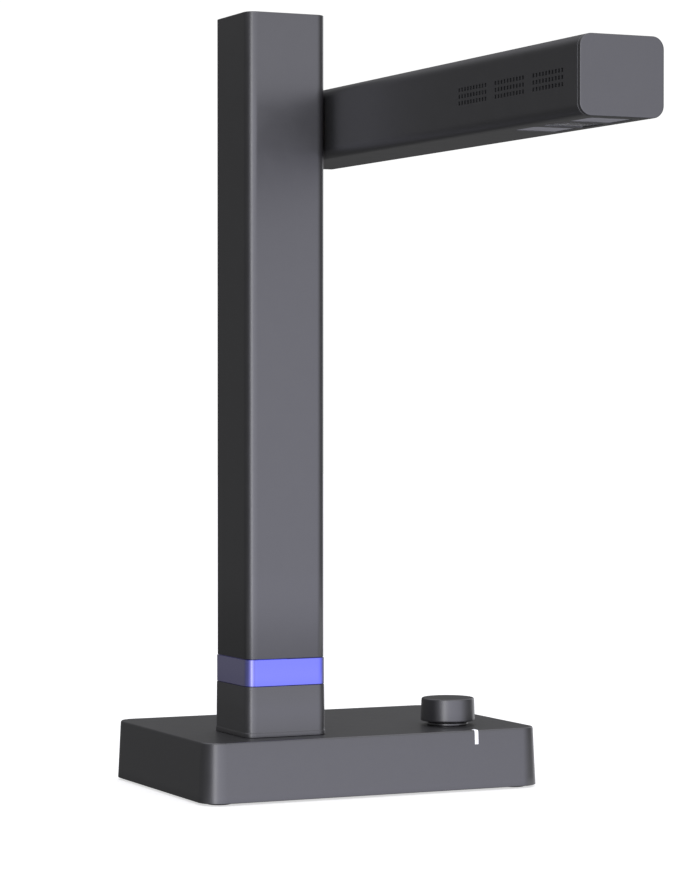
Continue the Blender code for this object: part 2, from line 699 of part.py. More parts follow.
def make_top_cap():
    """The plug that closes the tube, just below its rim."""
    size = TUBE_INNER - 2 * SEAT
    top = POST_TOP - SEAT
    block("post_top_cap", *square(size, top - TOP_CAP_THICKNESS, top), BLACK_PLASTIC,
          corner=POST_CORNER - POST_WALL, rim_high=0.0003, steps=4)


# ---- hinge -----------------------------------------------------------------------------------
def hinge_screw_places(names, first_angle, radius):
    """Screws evenly spaced round the pivot: their names and places in Y and Z."""
    places = []
    for i, name in enumerate(names):
        angle = math.radians(first_angle + 360 / len(names) * i)
        places.append((name, POST_Y + radius * math.cos(angle), PIVOT_HEIGHT + radius * math.sin(angle)))
    return places


def wall_screw_places():
    return hinge_screw_places(("top_rear", "top_front", "low_front", "low_rear"), 45, WALL_SCREW_RING)


def flange_screw_places():
    return hinge_screw_places(("rear", "front"), 0, (FLANGE_RADIUS + AXLE_RADIUS) / 2)


def hinge_stack():
    """Where each piece on the axle starts, counted along X inwards from the post's right wall."""
    bracket = POST_RIGHT - POST_WALL - SEAT
    stop = bracket - BRACKET_THICKNESS - SEAT
    washer = stop - STOP_THICKNESS - SEAT
    spring = washer - WASHER_THICKNESS - SEAT
    nut = spring - 2 * WASHER_THICKNESS - SEAT
    return {"bracket": bracket, "stop": stop, "washer": washer, "spring": spring, "nut": nut}


def on_axle(x):
    """Places a piece made along Z so that its own z runs along +X from here, on the hinge's axis."""
    return at(x, POST_Y, PIVOT_HEIGHT, X_AXIS)


def make_hinge_bracket():
    """The steel plate inside the post that carries the axle, and its four screws through the wall."""
    holes = [circle(HINGE_SCREW_RADIUS + SEAT / 2, (y - POST_Y, z - PIVOT_HEIGHT), 16)
             for _, y, z in wall_screw_places()]
    pin_y, pin_z = stop_pin_place()
    holes.append(circle(STOP_PIN_RADIUS + SEAT / 2, (pin_y - POST_Y, pin_z - PIVOT_HEIGHT), 16))
    holes.append(circle(AXLE_RADIUS + RUNNING, steps=24))
    x = hinge_stack()["bracket"] - BRACKET_THICKNESS / 2
    plate("hinge_bracket", [rectangle(BRACKET_SIZE, BRACKET_SIZE, 0.003), *holes], BRACKET_THICKNESS,
          ZINC_STEEL, at(x, POST_Y, PIVOT_HEIGHT, YZ_PLANE))
    turn_over = Matrix.Rotation(math.radians(-90), 4, "Y")
    for name, y, z in wall_screw_places():
        flat_screw("bracket_screw_" + name, at(POST_RIGHT - SEAT, y, z, turn_over),
                   HINGE_SCREW_RADIUS, POST_WALL + BRACKET_THICKNESS, HINGE_SCREW_RADIUS * 2)


def stop_pin_place():
    """The pin that the stop washer's two shoulders meet at the ends of the fold: above the axle."""
    return POST_Y, PIVOT_HEIGHT + (STOP_RADIUS + WASHER_RADIUS) / 2


def make_stop():
    """A washer keyed to the axle whose wide part leaves the pin free over the fold angle alone."""
    stack = hinge_stack()
    y, z = stop_pin_place()
    shank = BRACKET_THICKNESS + SEAT + STOP_THICKNESS + SEAT
    rod("stop_pin", STOP_PIN_RADIUS, -shank, 0, ZINC_STEEL, at(stack["bracket"], y, z, X_AXIS), steps=12)
    # An angle in this plane grows the way the arm turns as it folds down.
    slack = math.degrees((STOP_PIN_RADIUS + SEAT) / (z - PIVOT_HEIGHT))
    first, last = 90 + slack, 90 - math.degrees(FOLD_ANGLE) - slack
    wide = arc((0, 0), STOP_RADIUS, first, last + 360, 24)
    narrow = arc((0, 0), WASHER_RADIUS - 2 * SEAT, last, first, 10)
    plate("stop_washer", [wide + narrow, circle(AXLE_RADIUS + SEAT, steps=24)], STOP_THICKNESS,
          ZINC_STEEL, at(stack["stop"] - STOP_THICKNESS / 2, POST_Y, PIVOT_HEIGHT, YZ_PLANE))


def make_washers():
    stack = hinge_stack()
    inner = AXLE_RADIUS + SEAT
    gap_middle = POST_RIGHT + HINGE_GAP / 2
    ring("friction_washer", inner, WASHER_RADIUS, -WASHER_THICKNESS / 2, WASHER_THICKNESS / 2,
         BRONZE, on_axle(gap_middle))
    ring("thrust_washer", inner, WASHER_RADIUS - 0.002, -WASHER_THICKNESS, 0, BRONZE, on_axle(stack["washer"]))
    rise = WASHER_THICKNESS
    cone = [(WASHER_RADIUS - 0.003, 0), (WASHER_RADIUS - 0.003, -rise), (inner, -2 * rise), (inner, -rise)]
    turned("spring_washer", cone, ZINC_STEEL, on_axle(stack["spring"]), closed=True)


def make_axle():
    """The hollow hinge axle: a flange inside the arm's left wall and a shaft through the post's wall."""
    flange = ARM_LEFT + ARM_WALL + SEAT
    end = hinge_stack()["nut"] - NUT_THICKNESS - 0.001
    length = flange - end
    profile = [(FLANGE_RADIUS, FLANGE_THICKNESS), (FLANGE_RADIUS, 0), (AXLE_RADIUS, 0),
               (AXLE_RADIUS, -length), (AXLE_BORE, -length), (AXLE_BORE, FLANGE_THICKNESS)]
    axle = turned("hinge_axle", profile, ZINC_STEEL, on_axle(flange), closed=True, steps=24)
    for name, y, z in flange_screw_places():
        cut(axle, rod("flange_hole_" + name, HINGE_SCREW_RADIUS + SEAT / 2, -0.01, 0.01,
                      place=at(flange, y, z, X_AXIS), steps=12))
    for name, y, z in flange_screw_places():
        pan_screw("axle_screw_" + name, at(flange + FLANGE_THICKNESS + SEAT, y, z,
                                           Matrix.Rotation(math.radians(-90), 4, "Y")),
                  HINGE_SCREW_RADIUS, FLANGE_THICKNESS + ARM_WALL * 0.7, HINGE_SCREW_RADIUS * 1.8, 0.0012)


def make_nut():
    x = hinge_stack()["nut"] - NUT_THICKNESS / 2
    across_corners = NUT_ACROSS_FLATS / math.cos(math.radians(30))
    plate("axle_nut", [circle(across_corners / 2, steps=6), circle(AXLE_RADIUS + SEAT / 2, steps=24)],
          NUT_THICKNESS, ZINC_STEEL, on_axle(x))


# ---- arm -------------------------------------------------------------------------------------
def make_vent_cutter():
    """All the small slots of the arm's left side as one cutter of separate blocks."""
    bm = bmesh.new()
    x = ARM_LEFT + ARM_WALL / 2
    for group in range(VENT_GROUPS):
        middle = ARM_FRONT + VENT_START + group * VENT_GROUP_PITCH
        for column in range(VENT_COLUMNS):
            y = middle + (column - (VENT_COLUMNS - 1) / 2) * VENT_PITCH[0]
            for row in range(VENT_ROWS):
                z = PIVOT_HEIGHT + (row - (VENT_ROWS - 1) / 2) * VENT_PITCH[1]
                size = Matrix.Diagonal((2 * ARM_WALL, VENT_SLOT[0], VENT_SLOT[1], 1))
                bmesh.ops.create_cube(bm, size=1.0, matrix=Matrix.Translation((x, y, z)) @ size)
    mesh = bpy.data.meshes.new("vent_slots")
    bm.to_mesh(mesh)
    bm.free()
    return add_object("vent_slots", mesh)


def make_arm_housing():
    housing = open_box("arm_housing", (ARM_LEFT, ARM_FRONT + CAP_THICKNESS + SEAT, ARM_BOTTOM),
                       (ARM_RIGHT, ARM_BACK - CAP_THICKNESS - SEAT, ARM_TOP), (0, 1), ARM_WALL,
                       GRAPHITE, along=1, corner=ARM_CORNER)
    cut(housing, rod("arm_axle_hole", AXLE_RADIUS + SEAT, -0.01, 0.01, place=on_axle(ARM_LEFT)))
    for name, y, z in flange_screw_places():
        cut(housing, rod("arm_screw_hole_" + name, HINGE_SCREW_RADIUS + SEAT / 2, -0.01, 0.01,
                         place=at(ARM_LEFT, y, z, X_AXIS), steps=12))
    for i, y in enumerate(WINDOW_PLACES):
        size = (WINDOW_SIZE[0] + 2 * SEAT, WINDOW_SIZE[1] + 2 * SEAT, 4 * ARM_WALL)
        cut(housing, block("window_opening_%d" % i, *centred((ARM_X, y, ARM_BOTTOM), size),
                           corner=0.0012 + SEAT, steps=3))
    cut(housing, make_vent_cutter())


def make_arm_cap(name, face, inwards):
    """An end cap: a plate with the arm's outline and a plug that reaches into the housing."""
    plate_end = face + inwards * CAP_THICKNESS
    low, high = sorted((face, plate_end))
    rims = {"rim_low": CAP_RIM} if inwards > 0 else {"rim_high": CAP_RIM}
    cap = block(name, (ARM_LEFT, low, ARM_BOTTOM), (ARM_RIGHT, high, ARM_TOP), GRAPHITE,
                along=1, corner=ARM_CORNER, **rims)
    inset = ARM_WALL + SEAT
    low, high = sorted((face + inwards * CAP_THICKNESS / 2, plate_end + inwards * CAP_PLUG_DEPTH))
    join(cap, block(name + "_plug", (ARM_LEFT + inset, low, ARM_BOTTOM + inset),
                    (ARM_RIGHT - inset, high, ARM_TOP - inset), along=1,
                    corner=ARM_CORNER - ARM_WALL, steps=3))


def make_windows():
    """A lamp window, the camera's window and a second lamp window, let into the arm's underside."""
    low = ARM_BOTTOM + WINDOW_RECESS
    finishes = (("front_lamp_window", FROSTED), ("camera_window", DARK_GLASS), ("rear_lamp_window", FROSTED))
    for (name, finish), y in zip(finishes, WINDOW_PLACES):
        centre = (ARM_X, y, low + WINDOW_THICKNESS / 2)
        block(name, *centred(centre, (*WINDOW_SIZE, WINDOW_THICKNESS)), finish, corner=0.0012, steps=3)


def carrier_low():
    return ARM_BOTTOM + ARM_WALL + SEAT


def make_optics_carrier():
    """The plate on the housing's floor that holds the windows, the lamps and the camera."""
    length = 2 * WINDOW_PITCH + WINDOW_SIZE[1] + 2 * CARRIER_MARGIN
    width = ARM_WIDTH - 2 * ARM_CORNER
    openings = [rectangle(WINDOW_SIZE[0] - 2 * CARRIER_LIP, WINDOW_SIZE[1] - 2 * CARRIER_LIP, 0.001,
                          (0, y - WINDOW_PLACES[1])) for y in WINDOW_PLACES]
    plate("optics_carrier", [rectangle(width, length, 0.002), *openings], CARRIER_THICKNESS,
          BLACK_PLASTIC, at(ARM_X, WINDOW_PLACES[1], carrier_low() + CARRIER_THICKNESS / 2))


def make_lamps():
    low = carrier_low() + CARRIER_THICKNESS + LED_BOARD_LIFT
    for name, y in (("front_lamp_board", WINDOW_PLACES[0]), ("rear_lamp_board", WINDOW_PLACES[2])):
        width, depth, thickness = LED_BOARD_SIZE
        plate(name, [rectangle(width, depth, 0.001)], thickness, CIRCUIT_GREEN,
              at(ARM_X, y, low + thickness / 2))


def make_camera():
    """The lens barrel looks down through its window; its board lies on top of it."""
    place = at(ARM_X, WINDOW_PLACES[1], 0)
    low = carrier_low() + CARRIER_THICKNESS + SEAT
    high = low + LENS_HEIGHT
    glass_radius = LENS_RADIUS * 0.6
    barrel = [(0, high), (LENS_RADIUS, high), (LENS_RADIUS, low), (glass_radius + SEAT, low),
              (glass_radius + SEAT, low + 0.003), (0, low + 0.003)]
    turned("lens_barrel", barrel, BLACK_PLASTIC, place, steps=24)
    dome = [(glass_radius * math.sin(math.radians(a)), low + 0.0004 + 0.0016 * (1 - math.cos(math.radians(a))))
            for a in (90, 60, 30, 0)]
    turned("lens_glass", [(0, low + 0.0027), (glass_radius, low + 0.0027), *dome], DARK_GLASS, place, steps=20)
    width, depth, thickness = CAMERA_BOARD_SIZE
    plate("camera_board", [rectangle(width, depth, 0.001)], thickness, CIRCUIT_GREEN,
          at(ARM_X, WINDOW_PLACES[1], high + SEAT + thickness / 2))


def make_cables():
    """One lead from the camera's board into the axle's bore, and one from there to the main board."""
    board_y = WINDOW_PLACES[1] + CAMERA_BOARD_SIZE[1] / 2
    lead_z = PIVOT_HEIGHT + 0.006
    start = (ARM_X, board_y - 0.004, lead_z)
    inner = ARM_LEFT + ARM_WALL + SEAT + FLANGE_THICKNESS
    axle_end = hinge_stack()["nut"] - NUT_THICKNESS - 0.001
    run = POST_Y - board_y
    cable("arm_cable", [start, (ARM_X, board_y + run * 0.15, lead_z), (ARM_X + 0.004, board_y + run * 0.5, lead_z),
                        (ARM_X + 0.004, POST_Y - 0.022, PIVOT_HEIGHT + 0.003),
                        (ARM_X - 0.002, POST_Y - 0.003, PIVOT_HEIGHT), (inner, POST_Y, PIVOT_HEIGHT),
                        (axle_end + 0.002, POST_Y, PIVOT_HEIGHT)], BLACK_RUBBER)
    side_x = POST_X - CORE_BORE / 2 + 0.0005
    low = BOARD_TOP + 0.004
    cable("post_cable", [(POST_X, POST_Y, low), (POST_X, POST_Y, BASE_TOP + CORE_FLOOR + 0.004),
                         (POST_X - 0.006, POST_Y, BAND_TOP), (side_x, POST_Y, BAND_TOP + 2 * CORE_RISE),
                         (side_x, POST_Y, PIVOT_HEIGHT - 0.05), (side_x, POST_Y, PIVOT_HEIGHT - 0.012),
                         (axle_end - 0.001, POST_Y, PIVOT_HEIGHT)], BLACK_RUBBER, steps=26)


def build():
    make_base_housing()
    make_indicator()
    make_base_plate()
    make_base_screws()
    make_feet()
    make_ballast()
    make_main_board()
    make_sockets()
    make_encoder()
    make_knob()
    make_collar()
    make_light_ring()
    make_light_board()
    make_post_core()
    make_post_screws()
    make_post_tube()
    make_tube_screws()
    make_top_cap()
    make_hinge_bracket()
    make_stop()
    make_washers()
    make_axle()
    make_nut()
    make_arm_housing()
    make_arm_cap("arm_front_cap", ARM_FRONT, 1)
    make_arm_cap("arm_rear_cap", ARM_BACK, -1)
    make_windows()
    make_optics_carrier()
    make_lamps()
    make_camera()
    make_cables()


clear_scene()
SCANNER = new_collection("book_scanner")
CUTTERS = new_collection("cutters")
build()
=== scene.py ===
import json
import math

import bmesh
import bpy
import numpy as np
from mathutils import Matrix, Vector


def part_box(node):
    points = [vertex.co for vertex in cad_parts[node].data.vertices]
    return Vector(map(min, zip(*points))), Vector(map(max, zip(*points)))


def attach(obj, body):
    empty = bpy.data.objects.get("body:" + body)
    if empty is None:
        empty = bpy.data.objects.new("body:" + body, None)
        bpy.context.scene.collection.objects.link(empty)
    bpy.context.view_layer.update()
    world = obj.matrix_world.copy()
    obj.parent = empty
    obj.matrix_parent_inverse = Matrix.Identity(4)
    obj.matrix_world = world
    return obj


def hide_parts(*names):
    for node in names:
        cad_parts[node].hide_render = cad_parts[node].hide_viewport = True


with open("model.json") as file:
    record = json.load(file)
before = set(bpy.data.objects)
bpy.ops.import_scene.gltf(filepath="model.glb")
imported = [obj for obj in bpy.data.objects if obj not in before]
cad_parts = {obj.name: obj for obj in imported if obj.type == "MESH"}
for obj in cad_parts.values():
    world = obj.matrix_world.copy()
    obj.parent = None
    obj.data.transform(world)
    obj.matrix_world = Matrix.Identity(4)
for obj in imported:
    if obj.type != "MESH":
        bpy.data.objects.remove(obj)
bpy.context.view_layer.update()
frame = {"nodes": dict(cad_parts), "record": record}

nodes = frame["nodes"]

# ---- camera ----------------------------------------------------------------------------------
# A long lens on the operator's left, at just over half the scanner's height and tipped slightly
# down, so that the upright edges stay almost parallel.
camera_data = bpy.data.cameras.new("camera")
camera_data.lens = 126.54
camera_data.sensor_width = 36.0
camera = bpy.data.objects.new("camera", camera_data)
camera_turn, camera_dip = math.radians(24.94), math.radians(0.7535)
camera.location = (-0.69325, -1.38115, 0.2105)
camera_aim = Vector((math.sin(camera_turn) * math.cos(camera_dip),
                     math.cos(camera_turn) * math.cos(camera_dip), -math.sin(camera_dip)))
camera.rotation_euler = camera_aim.to_track_quat("-Z", "Y").to_euler()
bpy.context.scene.collection.objects.link(camera)
bpy.context.scene.camera = camera
bpy.context.scene.view_settings.view_transform = "Standard"


# ---- studio ----------------------------------------------------------------------------------
# A white table in a white room. The room's soft light comes mostly from in front of the scanner and
# from above; its left side and back are dim, so that the scanner's left faces fall into shade.
def node(tree, kind, links=(), **settings):
    """Adds a shader node. A setting is one of the node's own properties, such as operation, and a
    link is (input's name or number, the output that feeds it)."""
    made = tree.nodes.new(kind)
    for label, value in settings.items():
        setattr(made, label, value)
    for target, source in links:
        if isinstance(source, bpy.types.NodeSocket):
            tree.links.new(source, made.inputs[target])
        else:
            made.inputs[target].default_value = source
    return made


def ramp(tree, source, stops, smooth=True):
    """A colour ramp over (position, brightness or colour) stops."""
    made = node(tree, "ShaderNodeValToRGB", [("Fac", source)])
    made.color_ramp.interpolation = "EASE" if smooth else "LINEAR"
    elements = made.color_ramp.elements
    while len(elements) < len(stops):
        elements.new(0.5)
    for element, (position, tone) in zip(elements, stops):
        element.position = position
        element.color = (*((tone,) * 3 if isinstance(tone, float) else tone), 1.0)
    return made.outputs["Color"]


def calc(tree, operation, first, second):
    """One step of arithmetic on two numbers or outputs."""
    return node(tree, "ShaderNodeMath", [(0, first), (1, second)], operation=operation).outputs[0]


def span(tree, source, low, high, to_low=0.0, to_high=1.0, **settings):
    """Carries low..high of the source over to to_low..to_high, held at both ends."""
    limits = [("From Min", low), ("From Max", high), ("To Min", to_low), ("To Max", to_high)]
    return node(tree, "ShaderNodeMapRange", [("Value", source), *limits], **settings).outputs[0]


def blend(tree, amount, first, second):
    """The first colour at an amount of 0, and the second at 1."""
    return node(tree, "ShaderNodeMix", [(0, amount), (6, first), (7, second)], data_type="RGBA").outputs[2]


def light_room():
    """The room's brightness is a ramp over the compass angle, blended into one overhead brightness
    as the direction rises, and dimmed as it falls below the table. The camera sees plain white."""
    room = bpy.data.worlds.new("room")
    bpy.context.scene.world = room
    room.use_nodes = True
    tree = room.node_tree
    tree.nodes.clear()
    place = node(tree, "ShaderNodeTexCoord")
    split = node(tree, "ShaderNodeSeparateXYZ", [("Vector", place.outputs["Generated"])])
    # 0 behind, 0.25 at the left, 0.5 in front (-Y), 0.75 at the right
    angle = calc(tree, "ARCTAN2", calc(tree, "MULTIPLY", split.outputs["X"], -1.0), split.outputs["Y"])
    turn = calc(tree, "DIVIDE", angle, 2 * math.pi)
    whole = node(tree, "ShaderNodeMath", [(0, turn), (1, 1.0), (2, 0.0)], operation="WRAP").outputs[0]
    high = span(tree, split.outputs["Z"], *ROOM_TOP_BLEND, interpolation_type="SMOOTHSTEP")
    blended = blend(tree, high, ramp(tree, whole, ROOM_SIDES), (*ROOM_TOP, 1.0))
    height = span(tree, split.outputs["Z"], -1.0, 1.0)
    ahead = span(tree, split.outputs["Y"], ROOM_AHEAD_BLEND, -ROOM_AHEAD_BLEND)
    rise = blend(tree, ahead, ramp(tree, height, ROOM_RISE_BEHIND), ramp(tree, height, ROOM_RISE_AHEAD))
    dimmed = node(tree, "ShaderNodeVectorMath", [(0, blended), (1, rise)], operation="MULTIPLY")
    felt = node(tree, "ShaderNodeBackground", [("Color", dimmed.outputs[0]), ("Strength", ROOM_STRENGTH)])
    seen = node(tree, "ShaderNodeBackground", [("Color", (1.0, 1.0, 1.0, 1.0)), ("Strength", SEEN_STRENGTH)])
    ray = node(tree, "ShaderNodeLightPath")
    which = node(tree, "ShaderNodeMixShader", [(0, ray.outputs["Is Camera Ray"]), (1, felt.outputs[0]),
                                               (2, seen.outputs[0])])
    node(tree, "ShaderNodeOutputWorld", [("Surface", which.outputs[0])])


ROOM_STRENGTH, SEEN_STRENGTH = 3.25, 1.05
ROOM_TOP = (0.27, 0.27, 0.285)
ROOM_TOP_BLEND = (0.30, 0.85)       # heights of the direction between which the sides give way to the top
ROOM_AHEAD_BLEND = 0.3              # how far either side of the middle the front gives way to the back
ROOM_SIDES = ((0.0, (0.050, 0.050, 0.050)), (0.05, (0.047, 0.047, 0.047)), (0.16, (0.046, 0.046, 0.047)),
              (0.28, (0.050, 0.050, 0.051)), (0.345, (0.16, 0.16, 0.175)), (0.387, (1.0, 1.0, 1.0)),
              (0.420, (0.45, 0.45, 0.490)), (0.575, (0.375, 0.375, 0.410)), (0.640, (0.20, 0.20, 0.21)),
              (0.690, (0.08, 0.08, 0.08)), (0.765, (0.06, 0.06, 0.06)), (0.825, (0.42, 0.42, 0.43)),
              (0.870, (0.30, 0.30, 0.31)), (0.910, (0.049, 0.049, 0.049)))
# brightness from straight down (0) over the horizon (0.5) to straight up (1)
ROOM_RISE_AHEAD = ((0.05, (0.24, 0.24, 0.24)), (0.28, (0.64, 0.64, 0.66)), (0.39, (0.96, 0.96, 1.0)),
                   (0.47, (0.90, 0.90, 0.95)), (0.51, (0.80, 0.80, 0.80)))
ROOM_RISE_BEHIND = ((0.05, (0.15, 0.15, 0.15)), (0.38, (0.55, 0.55, 0.55)), (0.47, (0.82, 0.82, 0.82)),
                    (0.51, (0.80, 0.80, 0.80)))
light_room()


def softbox(name, place, aim, size, power):
    light = bpy.data.lights.new(name, "AREA")
    light.shape, (light.size, light.size_y), light.energy = "RECTANGLE", size, power
    lamp = bpy.data.objects.new(name, light)
    lamp.location = place
    lamp.rotation_euler = (Vector(aim) - Vector(place)).to_track_quat("-Z", "Y").to_euler()
    lamp.visible_camera = False
    bpy.context.scene.collection.objects.link(lamp)


softbox("overhead_softbox", (0.2, -0.2, 2.4), (0.0, 0.0, 0.0), (2.0, 2.0), 6.0)
# dim cards, low down, give back what a pale table would throw on the sides and the back
CARDS = (("rear_card", (0.66, 0.95, -0.30), (0.80, 0.44), 0.10),
         ("right_card", (1.00, -0.10, -0.30), (0.90, 0.44), 0.7),
         ("left_card", (-1.00, 0.00, -0.32), (0.90, 0.44), 0.15))
for card_name, card_place, card_size, card_power in CARDS:
    softbox(card_name, card_place, (0.0, 0.08, 0.2), card_size, card_power)

TABLE = 6.0                         # half the table's side
floor_mesh = bpy.data.meshes.new("table_top")
floor_mesh.from_pydata([(-TABLE, -TABLE, 0), (TABLE, -TABLE, 0), (TABLE, TABLE, 0), (-TABLE, TABLE, 0)], [],
                       [(0, 1, 2, 3)])
table_top = bpy.data.objects.new("table_top", floor_mesh)
bpy.context.scene.collection.objects.link(table_top)
table_top.visible_glossy = table_top.visible_diffuse = table_top.visible_shadow = False
floor_paint = bpy.data.materials.new("table_paint")
floor_paint.use_nodes = True
floor_shader = floor_paint.node_tree.nodes["Principled BSDF"]
floor_shader.inputs["Base Color"].default_value = (0.80, 0.80, 0.80, 1.0)
floor_shader.inputs["Roughness"].default_value = 0.9
floor_shader.inputs["Emission Color"].default_value = (1.0, 1.0, 1.0, 1.0)
floor_shader.inputs["Emission Strength"].default_value = 0.62
floor_mesh.materials.append(floor_paint)


# ---- base housing ----------------------------------------------------------------------------
# One injection moulding in dark graphite with a fine satin grain: a low box with round upright
# corners, sides that lean in a little towards the top, and a small round along the top edge.
BASE_CORNER, BASE_RIM, BASE_LEAN, BASE_WALL = 0.0115, 0.0010, 0.0015, 0.0024
BASE_LEVELS = (0.024, 0.018, 0.012, 0.006)          # rows down the leaning side
BASE_FOOT_ROUND = 0.00035                           # the round along the side's bottom edge
SOCKET_GAP = 0.0003                                 # round the sockets, all the way
LEAST_CORNER = 0.0002                               # no outline's corner is sharper than this
base_low, base_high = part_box("base_housing")


def outline(half, corner, steps=10, hold=0.0005):
    """Points counter-clockwise round a rectangle with round corners: each corner's centre plus its
    radius times the cosine and sine of evenly spaced angles, with one more point just inside each
    end of every straight side, to keep the flats flat."""
    hold = min(hold, (min(half) - corner) / 2)
    angle = np.linspace(0.0, np.pi / 2, steps + 1)
    quarters = []
    for turn, (sx, sy) in enumerate(((1, 1), (-1, 1), (-1, -1), (1, -1))):
        a = angle + turn * np.pi / 2
        middle = [sx * (half[0] - corner), sy * (half[1] - corner)]
        arc = np.stack([np.cos(a), np.sin(a)], 1) * corner + middle
        before = arc[:1] - hold * np.array([[-np.sin(a[0]), np.cos(a[0])]])
        after = arc[-1:] + hold * np.array([[-np.sin(a[-1]), np.cos(a[-1])]])
        quarters += [before, arc, after]
    return np.concatenate(quarters)


def quarter_round(inset, level, radius, first, last, steps=5):
    """(inset, level) points on an arc of this radius, whose angle grows evenly from first to last
    degrees: inset counts inwards from the outermost outline, level along the sweep."""
    a = np.radians(np.linspace(first, last, steps + 1))
    return np.stack([inset - radius * np.cos(a), level + radius * np.sin(a)], 1)


def new_piece(name, mesh, paint, body):
    piece = bpy.data.objects.new(name, mesh)
    bpy.context.scene.collection.objects.link(piece)
    mesh.materials.append(paint)
    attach(piece, body)
    return piece


def skin(name, rows, ring=False):
    """A closed mesh over a grid of points, rows x columns: the columns run round, the rows along.
    The two end rows are each filled with one face, unless the rows run round as well (ring)."""
    count, around = rows.shape[:2]
    index = np.arange(count * around).reshape(count, around)
    near = index if ring else index[:-1]
    far = np.roll(index, -1, axis=0) if ring else index[1:]
    quads = np.stack([near, np.roll(near, -1, axis=1), np.roll(far, -1, axis=1), far], -1)
    faces = quads.reshape(-1, 4).tolist()
    if not ring:
        faces += [index[0].tolist(), index[-1].tolist()]
    mesh = bpy.data.meshes.new(name)
    mesh.from_pydata(rows.reshape(-1, 3).tolist(), [], faces)
    outwards(mesh)
    return mesh


def outwards(mesh, sharp=38.0):
    bm = bmesh.new()
    bm.from_mesh(mesh)
    bmesh.ops.recalc_face_normals(bm, faces=bm.faces)
    if bm.calc_volume(signed=True) < 0:
        bmesh.ops.reverse_faces(bm, faces=bm.faces)
    bm.to_mesh(mesh)
    bm.free()
    mesh.shade_smooth()
    mesh.set_sharp_from_angle(angle=math.radians(sharp))


def lofted(centre, half, corner, profile, axis=2, steps=10):
    """Rows of points for a rounded box swept along one axis: for every (inset, level) of the
    profile, the outline is drawn smaller by the inset on each side, at that level. Corners
    keep their centres until the inset has used up the radius, as an offset curve does."""
    rows = []
    for inset, level in profile:
        flat = outline((half[0] - inset, half[1] - inset), max(corner - inset, LEAST_CORNER), steps)
        rows.append(np.column_stack([flat, np.full(len(flat), level)]))
    rows = np.array(rows)
    if axis == 1:
        rows = rows[:, :, [0, 2, 1]]
        return rows + np.array([centre[0], 0.0, centre[1]])
    if axis == 0:
        rows = rows[:, :, [2, 0, 1]]
        return rows + np.array([0.0, centre[0], centre[1]])
    return rows + np.array([centre[0], centre[1], 0.0])


def carve(piece, *cutters):
    """Takes the cutters' shapes out of the piece's mesh and throws the cutters away."""
    for cutter in cutters:
        tool = bpy.data.objects.new("cutter", cutter)
        bpy.context.scene.collection.objects.link(tool)
        change = piece.modifiers.new("carve", "BOOLEAN")
        change.operation, change.solver, change.object = "DIFFERENCE", "EXACT", tool
        graph = bpy.context.evaluated_depsgraph_get()
        graph.update()
        result = bpy.data.meshes.new_from_object(piece.evaluated_get(graph))
        piece.modifiers.clear()
        old, piece.data = piece.data, result
        result.name = old.name
        bpy.data.objects.remove(tool)
        outwards(result)


def brick(low, high, corner, axis=2, steps=4):
    """A plain rounded block between two corners, swept along one axis, used to cut openings."""
    low, high = np.array(low, float), np.array(high, float)
    across = [i for i in range(3) if i != axis]
    centre = (low + high)[across] / 2
    half = (high - low)[across] / 2
    profile = [(0.0, low[axis]), (0.0, high[axis])]
    return skin("cutter", lofted(centre, half, corner, profile, axis, steps))


# The moulded satin finish that the housing, post, arm and knob share: a fine grain in the tone, the
# gloss and the surface, slow mottling, thin paler wear on the edges and a little dust on top.
def new_group(name, inputs, outputs):
    group = bpy.data.node_groups.new(name, "ShaderNodeTree")
    for label, value in inputs:
        socket = group.interface.new_socket(label, in_out="INPUT", socket_type="NodeSocketFloat")
        socket.default_value = value
    for label, kind in outputs:
        group.interface.new_socket(label, in_out="OUTPUT", socket_type=kind)
    return group, group.nodes.new("NodeGroupInput"), group.nodes.new("NodeGroupOutput")


def noise(tree, place, size, detail, roughness):
    """Cloudy noise whose patches are about the given size, in metres."""
    often = calc(tree, "DIVIDE", 1.0, size)
    return node(tree, "ShaderNodeTexNoise", [("Vector", place), ("Scale", often), ("Detail", detail),
                                             ("Roughness", roughness)]).outputs[0]


def build_grain():
    group, given, out = new_group(
        "satin_grain", (("Grain Size", 0.0002), ("Mottle Size", 0.012)),
        (("Tone", "NodeSocketFloat"), ("Gloss", "NodeSocketFloat"), ("Height", "NodeSocketFloat")))
    place = node(group, "ShaderNodeTexCoord").outputs["Object"]
    fine = noise(group, place, given.outputs["Grain Size"], 2.0, 0.6)
    slow = noise(group, place, given.outputs["Mottle Size"], 3.0, 0.5)
    tone = calc(group, "ADD", fine, calc(group, "MULTIPLY", slow, 0.35))
    for label, source in (("Tone", tone), ("Gloss", slow), ("Height", fine)):
        group.links.new(source, out.inputs[label])
    return group


def build_wear():
    group, given, out = new_group("edge_wear", (("Width", 0.0004),), (("Edge", "NodeSocketFloat"),))
    rounded = node(group, "ShaderNodeBevel", [("Radius", given.outputs["Width"])], samples=4)
    true = node(group, "ShaderNodeNewGeometry")
    likeness = node(group, "ShaderNodeVectorMath", [(0, rounded.outputs[0]), (1, true.outputs["Normal"])],
                    operation="DOT_PRODUCT")
    group.links.new(span(group, likeness.outputs["Value"], 0.995, 0.90), out.inputs["Edge"])
    return group


def build_dust():
    group, given, out = new_group("settled_dust", (("Patch Size", 0.02),), (("Dust", "NodeSocketFloat"),))
    place = node(group, "ShaderNodeTexCoord").outputs["Object"]
    facing = node(group, "ShaderNodeNewGeometry")
    split = node(group, "ShaderNodeSeparateXYZ", [("Vector", facing.outputs["Normal"])])
    patch = noise(group, place, given.outputs["Patch Size"], 6.0, 0.7)
    level = span(group, split.outputs["Z"], 0.6, 1.0)
    group.links.new(calc(group, "MULTIPLY", level, patch), out.inputs["Dust"])
    return group


GRAIN, WEAR, DUST = build_grain(), build_wear(), build_dust()


